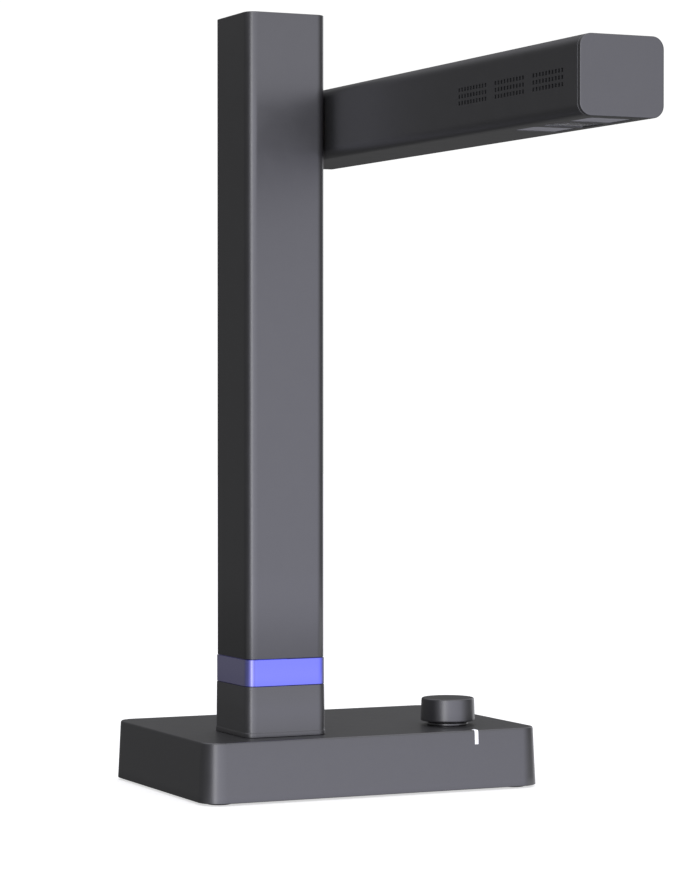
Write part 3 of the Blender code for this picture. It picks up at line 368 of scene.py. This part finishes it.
def grouped(tree, group, **values):
    made = tree.nodes.new("ShaderNodeGroup")
    made.node_tree = group
    for label, value in values.items():
        made.inputs[label.replace("_", " ")].default_value = value
    return made


WORN, DUSTY = (0.40, 0.40, 0.42, 1.0), (0.45, 0.44, 0.42, 1.0)


def new_paint(name, roughness, metallic=0.0):
    """A material, with its node tree and its shader."""
    paint = bpy.data.materials.new(name)
    paint.use_nodes = True
    shader = paint.node_tree.nodes["Principled BSDF"]
    shader.inputs["Roughness"].default_value = roughness
    shader.inputs["Metallic"].default_value = metallic
    return paint, paint.node_tree, shader


def emboss(tree, shader, height, strength, relief):
    """Turns a height into small bumps of the given relief, in metres."""
    bump = node(tree, "ShaderNodeBump", [("Height", height), ("Strength", strength), ("Distance", relief)])
    tree.links.new(bump.outputs[0], shader.inputs["Normal"])


def satin(name, colour, roughness, metallic, spread=0.06, grain=0.0002, relief=0.00002, dust=0.03, wear=0.10):
    """A moulded or painted finish: the colour swings by the spread with the grain, the edges are
    mixed towards a paler grey, and dust is laid over the faces that look up."""
    paint, tree, shader = new_paint(name, roughness, metallic)
    fine, edges, dusty = grouped(tree, GRAIN, Grain_Size=grain), grouped(tree, WEAR), grouped(tree, DUST)
    dark, pale = (tuple(c * (1 + s) for c in colour) + (1.0,) for s in (-spread, spread))
    body = blend(tree, span(tree, fine.outputs["Tone"], 0.45, 0.90), dark, pale)
    worn = blend(tree, calc(tree, "MULTIPLY", edges.outputs["Edge"], wear), body, WORN)
    dusted = blend(tree, calc(tree, "MULTIPLY", dusty.outputs["Dust"], dust), worn, DUSTY)
    tree.links.new(dusted, shader.inputs["Base Color"])
    gloss = span(tree, fine.outputs["Gloss"], 0.3, 0.7, roughness - 0.02, roughness + 0.02)
    tree.links.new(gloss, shader.inputs["Roughness"])
    emboss(tree, shader, fine.outputs["Height"], 0.5, relief)
    return paint


GRAPHITE = satin("graphite_moulding", (0.160, 0.160, 0.166), 0.33, 0.85)

base_centre = ((base_low + base_high) / 2)[:2]
base_half = ((base_high - base_low) / 2)[:2]
lean_at = lambda z: BASE_LEAN * (z - base_low.z) / (base_high.z - base_low.z)
rim = quarter_round(BASE_LEAN + BASE_RIM, base_high.z - BASE_RIM, BASE_RIM, 0, 90, 6)
inner_top = base_high.z - BASE_WALL
inner_rim = quarter_round(BASE_LEAN + BASE_WALL + 0.001, inner_top - 0.001, 0.001, 90, 0, 3)
side_top = base_high.z - BASE_RIM - 0.0006
base_profile = np.concatenate([
    [(BASE_LEAN + 0.006, base_high.z), (BASE_LEAN + BASE_RIM + 0.0006, base_high.z)], rim[::-1],
    [(lean_at(side_top), side_top)],
    [(lean_at(z), z) for z in BASE_LEVELS],
    quarter_round(BASE_FOOT_ROUND, base_low.z + BASE_FOOT_ROUND, BASE_FOOT_ROUND, 0, -90, 3),
    [(BASE_WALL - 0.0002, base_low.z), (BASE_WALL, base_low.z + 0.0002)],
    [(BASE_WALL + lean_at(inner_top - 0.0012), inner_top - 0.0012)], inner_rim[::-1],
    [(BASE_LEAN + BASE_WALL + 0.006, inner_top)]])
shell_mesh = skin("base_shell", lofted(base_centre, base_half, BASE_CORNER, base_profile, steps=14))
base_shell = new_piece("base_shell", shell_mesh, GRAPHITE, "base")
socket_boxes = {name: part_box(name) for name in ("usb_socket", "power_socket")}
for name, (low, high) in socket_boxes.items():
    corner = (high.z - low.z) / 2 if name == "usb_socket" else 0.0012
    carve(base_shell, brick((low.x - SOCKET_GAP, low.y, low.z - SOCKET_GAP),
                            (high.x + SOCKET_GAP, high.y + 0.004, high.z + SOCKET_GAP), corner, axis=1))
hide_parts("base_housing")


# ---- feet and bottom cover -------------------------------------------------------------------
# Four round rubber pads stuck in the base's corners, and a flat black cover between them that is
# held by four pan-headed steel screws.
def turned(name, profile, centre, axis=2, steps=72, ring=False):
    """A turned piece: the (radius, level) profile carried round the axis, so that each point is
    the centre plus the radius times the cosine and sine of the angle, at its level."""
    profile = np.array(profile, float)
    angle = np.linspace(0, 2 * np.pi, steps, endpoint=False)
    circle = np.stack([np.cos(angle), np.sin(angle)], 1)
    rows = np.empty((len(profile), steps, 3))
    across = [i for i in range(3) if i != axis]
    rows[:, :, axis] = profile[:, 1:2] + centre[axis]
    for i, direction in zip(across, circle.T):
        rows[:, :, i] = profile[:, :1] * direction + centre[i]
    return skin(name, rows, ring)


RUBBER = satin("foot_rubber", (0.018, 0.018, 0.018), 0.85, 0.0, spread=0.25, grain=0.0004, dust=0.0, wear=0.0)
BLACK = satin("black_moulding", (0.022, 0.022, 0.024), 0.55, 0.0, spread=0.15, grain=0.0003, relief=0.00003)
PAD_ROUND, PAD_HOLLOW, PAD_POLE = 0.0006, 0.00035, 0.0008
for node_name in sorted(n for n in nodes if n.startswith("foot_")):
    low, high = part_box(node_name)
    middle = (low + high) / 2
    radius, top = (high.x - low.x) / 2, high.z
    pad_profile = [(PAD_POLE, top), (radius - 0.0002, top), (radius, top - 0.0002)]
    pad_profile += [(radius - PAD_ROUND + PAD_ROUND * math.cos(a), PAD_ROUND - PAD_ROUND * math.sin(a))
                    for a in np.radians([0, 22, 45, 68, 90])]
    pad_profile += [(radius * 0.62, 0.0), (radius * 0.56, PAD_HOLLOW), (PAD_POLE, PAD_HOLLOW)]
    pad = new_piece(node_name + "_pad", turned(node_name + "_pad", pad_profile, (middle.x, middle.y, 0.0)),
                    RUBBER, "base")
    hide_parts(node_name)


def steel(name, colour, roughness, scratch=0.35, relief=0.000015):
    """Bare metal: fine drawn lines along one axis change the gloss, over slow stains in the tone."""
    metal, tree, shader = new_paint(name, roughness, 1.0)
    place = node(tree, "ShaderNodeTexCoord").outputs["Object"]
    stretched = node(tree, "ShaderNodeMapping", [("Vector", place), ("Scale", (1.0, 1.0, 0.06))])
    lines = node(tree, "ShaderNodeTexNoise", [("Vector", stretched.outputs[0]), ("Scale", 2600.0)])
    stain = node(tree, "ShaderNodeTexNoise", [("Vector", place), ("Scale", 160.0)])
    dark, pale = (tuple(min(1.0, c * k) for c in colour) + (1.0,) for k in (0.82, 1.12))
    tree.links.new(blend(tree, stain.outputs[0], dark, pale), shader.inputs["Base Color"])
    gloss = span(tree, lines.outputs[0], 0.0, 1.0, roughness * (1 - scratch), roughness * (1 + scratch))
    tree.links.new(gloss, shader.inputs["Roughness"])
    emboss(tree, shader, lines.outputs[0], 0.4, relief)
    return metal


ZINC = steel("zinc_steel", (0.56, 0.57, 0.58), 0.35)


def screw(node_name, axis, facing, head, socket_radius, socket_depth, rise):
    """A screw in its CAD node's place: a turned head on a plain shank, and a six-sided socket. The
    head has a rounded crown of the given rise, or is countersunk if the rise is 0. Facing is +1 or
    -1, the way that the head looks along the axis."""
    low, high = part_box(node_name)
    middle = (low + high) / 2
    across = [i for i in range(3) if i != axis]
    radius = (high[across[0]] - low[across[0]]) / 2
    front, back = (high[axis], low[axis]) if facing > 0 else (low[axis], high[axis])
    along = lambda depth: front - facing * depth - middle[axis]
    shank = radius * 0.5
    if rise:
        crown = [(radius * math.sin(a), along(rise * (1 - math.cos(a))))
                 for a in np.radians([12, 35, 58, 75])]
        crown += [(radius, along(rise * 0.9)), (radius, along(head))]
    else:
        crown = [(radius * 0.2, along(0)), (radius - 0.0001, along(0)), (radius, along(0.0001))]
        crown += [(shank * 1.02, along(head))]
    profile = crown + [(shank, along(head + 0.0001)), (shank, along(abs(front - back) - 0.0003)),
                       (shank * 0.6, along(abs(front - back)))]
    mesh = turned(node_name + "_head", profile, middle, axis, 48)
    piece = new_piece(node_name + "_head", mesh, ZINC, frame_body[node_name])
    carve(piece, turned("cutter", [(socket_radius, along(-0.002)), (socket_radius, along(socket_depth))],
                        middle, axis, 6))
    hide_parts(node_name)


frame_body = {n: body for body, members in frame["record"]["behaviour"]["bodies"].items() for n in members}
for node_name in sorted(n for n in nodes if n.startswith("base_screw_")):
    screw(node_name, 2, -1, 0.0012, 0.0011, 0.0008, 0.0012)
nodes["base_plate"].data.materials.clear()
nodes["base_plate"].data.materials.append(BLACK)


# ---- sockets ---------------------------------------------------------------------------------
# A pressed steel data socket with its black tongue, and a moulded power socket with a centre pin,
# both soldered to the main board and seen through openings in the base's back.
usb_low, usb_high = socket_boxes["usb_socket"]
usb_middle = (usb_low + usb_high) / 2
TONGUE_SIDE, TONGUE_HALF = 0.0017, 0.00035          # in from the socket's sides, and half its thickness
tongue = brick((usb_low.x + TONGUE_SIDE, usb_low.y + 0.0012, usb_middle.z - TONGUE_HALF),
               (usb_high.x - TONGUE_SIDE, usb_high.y - 0.0007, usb_middle.z + TONGUE_HALF), 0.0003, axis=1)
tongue.name = "usb_tongue"
new_piece("usb_tongue", tongue, BLACK, "base")
power_low, power_high = socket_boxes["power_socket"]
power_middle = (power_low + power_high) / 2
pin_front = power_high.y - 0.0012
pin_profile = [(0.0002, pin_front), (0.0006, pin_front - 0.0001), (0.0009, pin_front - 0.0004),
               (0.00095, pin_front - 0.0008), (0.00095, power_low.y + 0.003), (0.0002, power_low.y + 0.003)]
power_pin = turned("power_pin", pin_profile, (power_middle.x, 0.0, power_middle.z), axis=1, steps=32)
new_piece("power_pin", power_pin, ZINC, "base")
for node_name, paint in (("usb_socket", ZINC), ("power_socket", BLACK)):
    nodes[node_name].data.materials.clear()
    nodes[node_name].data.materials.append(paint)


# ---- indicator -------------------------------------------------------------------------------
# A clear white light pipe, lit from the main board, that lies flush in the base's front top edge
# in line with the knob.
strip_low, strip_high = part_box("indicator_light_pipe")
front_at = lambda z: base_low.y + lean_at(z)
STRIP_THICKNESS, STRIP_PROUD = 0.0009, 0.00003
strip_rim = [(base_low.y + BASE_LEAN + BASE_RIM * (1 - math.cos(a)),
              base_high.z - BASE_RIM * (1 - math.sin(a))) for a in np.radians(np.linspace(0, 90, 7))]
strip_outer = np.array([(front_at(strip_low.z), strip_low.z), (front_at(side_top), side_top), *strip_rim,
                        (strip_high.y, base_high.z)])
strip_inner = strip_outer[::-1] + np.array([STRIP_THICKNESS, -STRIP_THICKNESS])
strip_inner[0, 0], strip_inner[-1, 1] = strip_outer[-1, 0], strip_outer[0, 1]
strip_loop = np.concatenate([strip_outer + np.array([-STRIP_PROUD, STRIP_PROUD]), strip_inner])
strip_rows = np.array([np.column_stack([np.full(len(strip_loop), x), strip_loop])
                       for x in (strip_low.x, strip_high.x)])


def glowing(name, colour, strength):
    """A frosted plastic that is lit from behind, a little unevenly."""
    lit, tree, shader = new_paint(name, 0.35)
    shader.inputs["Base Color"].default_value = (0.8, 0.8, 0.85, 1.0)
    shader.inputs["Emission Strength"].default_value = strength
    place = node(tree, "ShaderNodeTexCoord").outputs["Object"]
    cloud = node(tree, "ShaderNodeTexNoise", [("Vector", place), ("Scale", 700.0)])
    dim = tuple(c * 0.9 for c in colour) + (1.0,)
    tree.links.new(blend(tree, cloud.outputs[0], dim, (*colour, 1.0)), shader.inputs["Emission Color"])
    return lit


WHITE_GLOW = glowing("lit_white_pipe", (0.93, 0.95, 1.0), 0.85)
indicator = new_piece("indicator_strip", skin("indicator_strip", strip_rows), WHITE_GLOW, "base")
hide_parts("indicator_light_pipe")


# ---- knob ------------------------------------------------------------------------------------
# A turned and painted metal cap that stands just clear of a low ring, and turns and presses on the
# encoder's shaft below.
GRAPHITE_METAL = satin("graphite_paint_on_metal", (0.160, 0.160, 0.166), 0.31, 0.90, grain=0.00015)
cap_low, cap_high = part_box("knob_cap")
knob_middle = (cap_low + cap_high) / 2
KNOB_TAPER, KNOB_EDGE, KNOB_SKIRT_ROUND = 0.0005, 0.0008, 0.0005
KNOB_HOLLOW, KNOB_RECESS, KNOB_BORE = 0.0119, 0.0022, 0.0031     # radius and depth below, the shaft's hole
KNOB_ROOF = 0.0027                  # metal above the shaft's hole
knob_radius = (cap_high.x - cap_low.x) / 2
top_radius, skirt, crown_level = knob_radius - KNOB_TAPER, cap_low.z, cap_high.z
knob_profile = [(0.0015, crown_level), (top_radius - KNOB_EDGE - 0.0004, crown_level)]
knob_profile += [(top_radius - KNOB_EDGE * (1 - math.sin(a)), crown_level - KNOB_EDGE * (1 - math.cos(a)))
                 for a in np.radians(np.linspace(0, 90, 8))]
knob_profile += [(top_radius + 0.0001, crown_level - 0.0016), (knob_radius - 0.00004, skirt + 0.0012)]
knob_profile += [(knob_radius - KNOB_SKIRT_ROUND * (1 - math.cos(a)),
                  skirt + KNOB_SKIRT_ROUND * (1 - math.sin(a))) for a in np.radians([0, 30, 60, 90])]
knob_profile += [(KNOB_HOLLOW + 0.0001, skirt), (KNOB_HOLLOW, skirt + 0.0001),
                 (KNOB_HOLLOW, skirt + KNOB_RECESS), (KNOB_BORE + 0.0001, skirt + KNOB_RECESS),
                 (KNOB_BORE, skirt + KNOB_RECESS + 0.0001), (KNOB_BORE, crown_level - KNOB_ROOF),
                 (0.0004, crown_level - KNOB_ROOF)]
knob_axis = (knob_middle.x, knob_middle.y, 0.0)
knob = new_piece("knob_skin", turned("knob_skin", knob_profile, knob_axis, steps=128), GRAPHITE_METAL, "knob")
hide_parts("knob_cap")
ring_low, ring_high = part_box("knob_ring")
ring_radius = (ring_high.x - ring_low.x) / 2
SEAT_BORE = 0.0048
seat_profile = [(SEAT_BORE, ring_high.z), (ring_radius - 0.0003, ring_high.z),
                (ring_radius - 0.0001, ring_high.z - 0.0001), (ring_radius, ring_high.z - 0.0003),
                (ring_radius, ring_low.z), (SEAT_BORE, ring_low.z)]
knob_seat = new_piece("knob_seat", turned("knob_seat", seat_profile, knob_axis, steps=96, ring=True),
                      GRAPHITE_METAL, "base")
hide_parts("knob_ring")


# ---- post collar -----------------------------------------------------------------------------
# The moulded foot of the post: it slips over the casting, flares out slightly to the base, and
# ends in a low lip. The post, the ring and the collar are one square column with round corners.
POST_CORNER, POST_WALL = 0.0055, 0.0020
tube_low, tube_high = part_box("post_tube")
post_centre = ((tube_low + tube_high) / 2)[:2]
collar_low, collar_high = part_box("post_collar")
COLLAR_FLARE, LIP_HEIGHT, LIP_PROUD = 0.0003, 0.0022, 0.0002
collar_half = ((collar_high - collar_low) / 2)[:2]
inner_inset = collar_half[0] - (tube_high.x - tube_low.x) / 2 + POST_WALL
lip_top, flared = collar_low.z + LIP_HEIGHT, LIP_PROUD + COLLAR_FLARE
foot_profile = [(0.0, collar_low.z), (0.0, lip_top - 0.0005), (0.0001, lip_top - 0.0001),
                (LIP_PROUD, lip_top), (LIP_PROUD + 0.0001, lip_top + 0.0004),
                (LIP_PROUD + COLLAR_FLARE * 0.5, (collar_low.z + collar_high.z) / 2),
                (flared, collar_high.z - 0.0004), (flared + 0.0001, collar_high.z - 0.0001),
                (flared + 0.0003, collar_high.z), (inner_inset, collar_high.z), (inner_inset, collar_low.z)]
collar_rows = lofted(post_centre, collar_half, POST_CORNER, foot_profile, steps=12)
collar = new_piece("collar_skin", skin("collar_skin", collar_rows, ring=True), GRAPHITE, "base")
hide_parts("post_collar")


# ---- light ring ------------------------------------------------------------------------------
# A translucent band between the collar and the tube. Blue diodes on a board inside light its front; the glow
# fades round the front corners and leaves the sides a dim violet grey. On the left front corner a painted
# deep blue shade and a painted highlight line are laid into the glow.
band_low, band_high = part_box("light_ring")
band_half = ((band_high - band_low) / 2)[:2]
BAND_EDGE = 0.0002
band_profile = [(BAND_EDGE, band_low.z), (BAND_EDGE / 4, band_low.z + BAND_EDGE / 4),
                (0.0, band_low.z + BAND_EDGE), (0.0, (band_low.z + band_high.z) / 2),
                (0.0, band_high.z - BAND_EDGE), (BAND_EDGE / 4, band_high.z - BAND_EDGE / 4),
                (BAND_EDGE, band_high.z), (POST_WALL, band_high.z), (POST_WALL, band_low.z)]


BAND_DIM = (0.026, 0.024, 0.060)
# glow along the left front corner with painted light in it: painted shade from 0.10 to 0.36 and at 0.68, a
# painted highlight line from 0.47 to 0.60
BAND_GLOW_WITH_PAINTED_LIGHT = ((0.0, BAND_DIM), (0.10, (0.020, 0.018, 0.052)), (0.20, (0.004, 0.006, 0.085)),
             (0.36, (0.004, 0.008, 0.150)), (0.47, (0.080, 0.080, 0.45)), (0.55, (0.340, 0.340, 0.96)),
             (0.60, (0.230, 0.240, 0.90)), (0.68, (0.050, 0.060, 0.66)), (0.77, (0.085, 0.105, 0.86)))


def blue_band():
    """Lit from behind at the front. Along the outline, the distance to the right of the left face less the
    distance behind the front face, a ramp turns the dim side into a painted deep blue shade, a painted
    highlight line on the corner, and the even blue front; past the middle the front fades out round its right
    corner."""
    lit, tree, shader = new_paint("lit_blue_band", 0.28, 0.6)
    shader.inputs["Base Color"].default_value = (0.16, 0.16, 0.18, 1.0)
    shader.inputs["Emission Strength"].default_value = 1.0
    place = node(tree, "ShaderNodeTexCoord").outputs["Object"]
    split = node(tree, "ShaderNodeSeparateXYZ", [("Vector", place)])
    left, front = post_centre[0] - band_half[0], post_centre[1] - band_half[1]
    beside = calc(tree, "SUBTRACT", split.outputs["X"], left)
    behind = calc(tree, "SUBTRACT", split.outputs["Y"], front)
    along = span(tree, calc(tree, "SUBTRACT", beside, behind), -0.006, 0.008)
    right = calc(tree, "GREATER_THAN", beside, float(band_half[0]))
    off = calc(tree, "MULTIPLY", right, span(tree, behind, 0.0001, 0.0012))
    # the glow, with the left corner's painted shade and painted highlight line
    glow_and_painted_light = blend(tree, off, ramp(tree, along, BAND_GLOW_WITH_PAINTED_LIGHT, smooth=False), (*BAND_DIM, 1.0))
    tree.links.new(glow_and_painted_light, shader.inputs["Emission Color"])
    return lit


BLUE_BAND = blue_band()
band_rows = lofted(post_centre, band_half, POST_CORNER, band_profile, steps=12)
light_band = new_piece("light_band", skin("light_band", band_rows, ring=True), BLUE_BAND, "base")
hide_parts("light_ring")


# ---- post ------------------------------------------------------------------------------------
# A square aluminium tube with a satin graphite paint, pushed over the casting and held by two
# countersunk screws at the back. A black plug closes it just below the rim.
tube_half = ((tube_high - tube_low) / 2)[:2]
TUBE_LEVELS = (0.12, 0.20, 0.28, 0.36)              # rows up the straight sides
tube_profile = [(0.0003, tube_low.z), (0.0001, tube_low.z + 0.0001), (0.0, tube_low.z + 0.0003),
                *((0.0, z) for z in TUBE_LEVELS), (0.0, tube_high.z - 0.0004),
                (0.0001, tube_high.z - 0.00012), (0.0004, tube_high.z), (POST_WALL - 0.0003, tube_high.z),
                (POST_WALL, tube_high.z - 0.0003), (POST_WALL, tube_low.z)]
tube_rows = lofted(post_centre, tube_half, POST_CORNER, tube_profile, steps=14)
post = new_piece("post_skin", skin("post_skin", tube_rows, ring=True), GRAPHITE_METAL, "base")
axle_low, axle_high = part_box("hinge_axle")
pivot = (axle_low + axle_high) / 2
POST_BORE, ARM_BORE = 0.0062, 0.0065                # radii of the axle's holes
carve(post, turned("cutter", [(POST_BORE, post_centre[0]), (POST_BORE, post_centre[0] + 0.05)],
                   (0.0, pivot.y, pivot.z), axis=0, steps=40))
for node_name in ("tube_screw_lower", "tube_screw_upper"):
    low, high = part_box(node_name)
    seat = (low + high) / 2
    reach = (high.x - low.x) / 2 + 0.0003
    cone = [(reach, tube_high.y + 0.001), (reach, tube_high.y - 0.0002), (reach * 0.55, tube_high.y - 0.0021),
            (reach * 0.55, tube_high.y - 0.006)]
    carve(post, turned("cutter", cone, (seat.x, 0.0, seat.z), axis=1, steps=40))
    screw(node_name, 1, 1, 0.0018, 0.0014, 0.0011, 0.0)
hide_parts("post_tube")
plug_low, plug_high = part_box("post_top_cap")
plug_half = ((plug_high - plug_low) / 2)[:2]
plug_profile = [(0.010, plug_low.z), (0.0, plug_low.z), (0.0, plug_high.z - 0.0003),
                (0.0001, plug_high.z - 0.0001), (0.0003, plug_high.z), (0.0010, plug_high.z),
                (0.010, plug_high.z)]
plug_rows = lofted(post_centre, plug_half, POST_CORNER - POST_WALL, plug_profile)
plug = new_piece("top_plug", skin("top_plug", plug_rows), BLACK, "base")
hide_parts("post_top_cap")


# ---- arm -------------------------------------------------------------------------------------
# A moulded rectangular tube with round edges. Three groups of small cooling slots go through its
# left side, and three openings in its underside take the windows.
ARM_CORNER, ARM_WALL = 0.0059, 0.0020
arm_low, arm_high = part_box("arm_housing")
arm_centre = np.array((arm_low + arm_high) / 2)[[0, 2]]
arm_half = np.array((arm_high - arm_low) / 2)[[0, 2]]
arm_profile = [(0.0002, arm_low.y), (0.0, arm_low.y + 0.0002)]
arm_profile += [(0.0, y) for y in np.linspace(arm_low.y + 0.01, arm_high.y - 0.01, 9)]
arm_profile += [(0.0, arm_high.y - 0.0002), (0.0002, arm_high.y), (ARM_WALL, arm_high.y),
                (ARM_WALL, arm_low.y)]
arm_rows = lofted(arm_centre, arm_half, ARM_CORNER, arm_profile, axis=1, steps=14)
arm = new_piece("arm_skin", skin("arm_skin", arm_rows, ring=True), GRAPHITE, "arm")
PANE_GAP = 0.0003
window_boxes = {name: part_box(name) for name in ("front_lamp_window", "camera_window", "rear_lamp_window")}
for low, high in window_boxes.values():
    carve(arm, brick((low.x - PANE_GAP, low.y - PANE_GAP, arm_low.z - 0.003),
                     (high.x + PANE_GAP, high.y + PANE_GAP, arm_low.z + 0.004), 0.0015))
SLOT, SLOT_PITCH, GROUP_PITCH, FIRST_GROUP = (0.0016, 0.0019), (0.0030, 0.0032), 0.0370, 0.0297
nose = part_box("arm_front_cap")[0].y


def slot_blocks():
    """All the cooling slots as one mesh of separate blocks: one block's eight corners are added to
    every slot's centre, group by group, column by column and row by row."""
    along = nose + FIRST_GROUP + np.arange(3)[:, None] * GROUP_PITCH + (np.arange(10) - 4.5) * SLOT_PITCH[0]
    up = pivot.z + (np.arange(3) - 1) * SLOT_PITCH[1]
    centres = np.array([(arm_low.x, y, z) for y in along.ravel() for z in up])
    corners = np.array([(x, y, z) for x in (-1, 1) for y in (-1, 1) for z in (-1, 1)], float)
    corners *= np.array([0.004, SLOT[0] / 2, SLOT[1] / 2])
    sides = np.array([(0, 1, 3, 2), (4, 6, 7, 5), (0, 4, 5, 1), (2, 3, 7, 6), (0, 2, 6, 4), (1, 5, 7, 3)])
    points = (centres[:, None] + corners).reshape(-1, 3)
    faces = (np.arange(len(centres))[:, None, None] * 8 + sides).reshape(-1, 4)
    mesh = bpy.data.meshes.new("cutter")
    mesh.from_pydata(points.tolist(), [], faces.tolist())
    outwards(mesh)
    return mesh


carve(arm, slot_blocks(), turned("cutter", [(ARM_BORE, arm_low.x - 0.004), (ARM_BORE, arm_low.x + 0.004)],
                                 (0.0, pivot.y, pivot.z), axis=0, steps=40))
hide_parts("arm_housing")


# ---- arm end caps ----------------------------------------------------------------------------
# Moulded plates with the arm's outline, whose plugs push into the housing's ends and leave a fine
# joint line; their outer edges have a small round.
CAP_RIM, CAP_JOINT, PLUG_INSET, PLUG_LENGTH = 0.0004, 0.0003, 0.0023, 0.0038
CAP_FILL = 0.010                    # the flat faces are filled from this far inside the outline
for node_name, facing in (("arm_front_cap", -1), ("arm_rear_cap", 1)):
    low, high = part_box(node_name)
    front = low.y if facing < 0 else high.y
    joint = arm_low.y - CAP_JOINT if facing < 0 else arm_high.y + CAP_JOINT
    level = lambda depth: front - facing * depth
    depth = abs(front - joint)
    cap_profile = [(CAP_FILL, level(0)), (CAP_RIM + 0.0006, level(0))]
    cap_profile += [(CAP_RIM * (1 - math.sin(a)), level(CAP_RIM * (1 - math.cos(a))))
                    for a in np.radians(np.linspace(0, 90, 6))]
    cap_profile += [(0.0, level(depth - 0.0003)), (0.00005, level(depth - 0.0001)), (0.0002, level(depth)),
                    (PLUG_INSET, level(depth)), (PLUG_INSET, level(depth + PLUG_LENGTH)),
                    (CAP_FILL, level(depth + PLUG_LENGTH))]
    cap_rows = lofted(arm_centre, arm_half, ARM_CORNER, cap_profile, axis=1, steps=14)
    cap = new_piece(node_name + "_skin", skin(node_name + "_skin", cap_rows), GRAPHITE, "arm")
    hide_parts(node_name)


# ---- windows ---------------------------------------------------------------------------------
# Three acrylic plates let into the underside: a frosted lamp window, the camera's smoked clear
# window, and a second lamp window.
def acrylic(name, dark, pale, roughness, transmission=0.0):
    """Cast acrylic: a faint cloud in the tone, and the ripple of a moulded face."""
    glaze, tree, shader = new_paint(name, roughness)
    shader.inputs["Transmission Weight"].default_value = transmission
    place = node(tree, "ShaderNodeTexCoord").outputs["Object"]
    cloud = node(tree, "ShaderNodeTexNoise", [("Vector", place), ("Scale", 900.0)]).outputs[0]
    tree.links.new(blend(tree, cloud, (*dark, 1.0), (*pale, 1.0)), shader.inputs["Base Color"])
    emboss(tree, shader, cloud, 0.2, 0.00001)
    return glaze


FROSTED = acrylic("frosted_acrylic", (0.60, 0.60, 0.66), (0.68, 0.68, 0.74), 0.28)
CLEAR = acrylic("smoked_acrylic", (0.30, 0.30, 0.34), (0.34, 0.34, 0.38), 0.12, transmission=0.8)
PANE_CORNER, PANE_FILL = 0.0012, 0.006
for node_name, (low, high) in window_boxes.items():
    centre, half = ((low + high) / 2)[:2], ((high - low) / 2)[:2]
    pane_profile = [(PANE_FILL, low.z), (0.0004, low.z), (0.0001, low.z + 0.0001), (0.0, low.z + 0.0003),
                    (0.0, high.z), (PANE_FILL, high.z)]
    pane_rows = lofted(centre, half, PANE_CORNER, pane_profile, steps=5)
    paint, slot = (CLEAR, "dark_glass") if node_name == "camera_window" else (FROSTED, "lamp_diffuser")
    pane = new_piece(node_name + "_pane", skin(node_name + "_pane", pane_rows), paint, "arm")
    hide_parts(node_name)


# ---- inner pieces ----------------------------------------------------------------------------
# The boards, the casting, the ballast, the hinge's steel and bronze and the leads keep their CAD
# shapes, and take their own finishes.
BRONZE = steel("sintered_bronze", (0.55, 0.38, 0.18), 0.40)
CAST = steel("cast_steel", (0.30, 0.30, 0.31), 0.55, relief=0.00006)


def circuit_board():
    """Green solder mask: fine straight tracks from a brick pattern, two greens with paler lines."""
    board, tree, shader = new_paint("circuit_board", 0.38)
    place = node(tree, "ShaderNodeTexCoord").outputs["Object"]
    tracks = node(tree, "ShaderNodeTexBrick", [
        ("Vector", place), ("Scale", 160.0), ("Mortar Size", 0.03), ("Color1", (0.012, 0.085, 0.040, 1.0)),
        ("Color2", (0.018, 0.110, 0.050, 1.0)), ("Mortar", (0.035, 0.190, 0.090, 1.0))])
    tree.links.new(tracks.outputs[0], shader.inputs["Base Color"])
    return board


CIRCUIT = circuit_board()
GLASS = satin("coated_glass", (0.010, 0.010, 0.016), 0.08, 0.0, spread=0.1, relief=0.0, dust=0.0, wear=0.0)
finishes = {"black_plastic": BLACK, "black_rubber": RUBBER, "zinc_steel": ZINC, "cast_steel": CAST,
            "circuit_board": CIRCUIT, "bronze": BRONZE, "dark_glass": GLASS, "cable_sleeve": RUBBER,
            "graphite_plastic": GRAPHITE, "graphite_metal": GRAPHITE_METAL, "blue_diffuser": BLUE_BAND,
            "white_diffuser": WHITE_GLOW, "lamp_diffuser": FROSTED}
for piece in frame["record"]["subparts"]:
    nodes[piece["node"]].data.materials.clear()
    nodes[piece["node"]].data.materials.append(finishes[piece["material_slot"]])
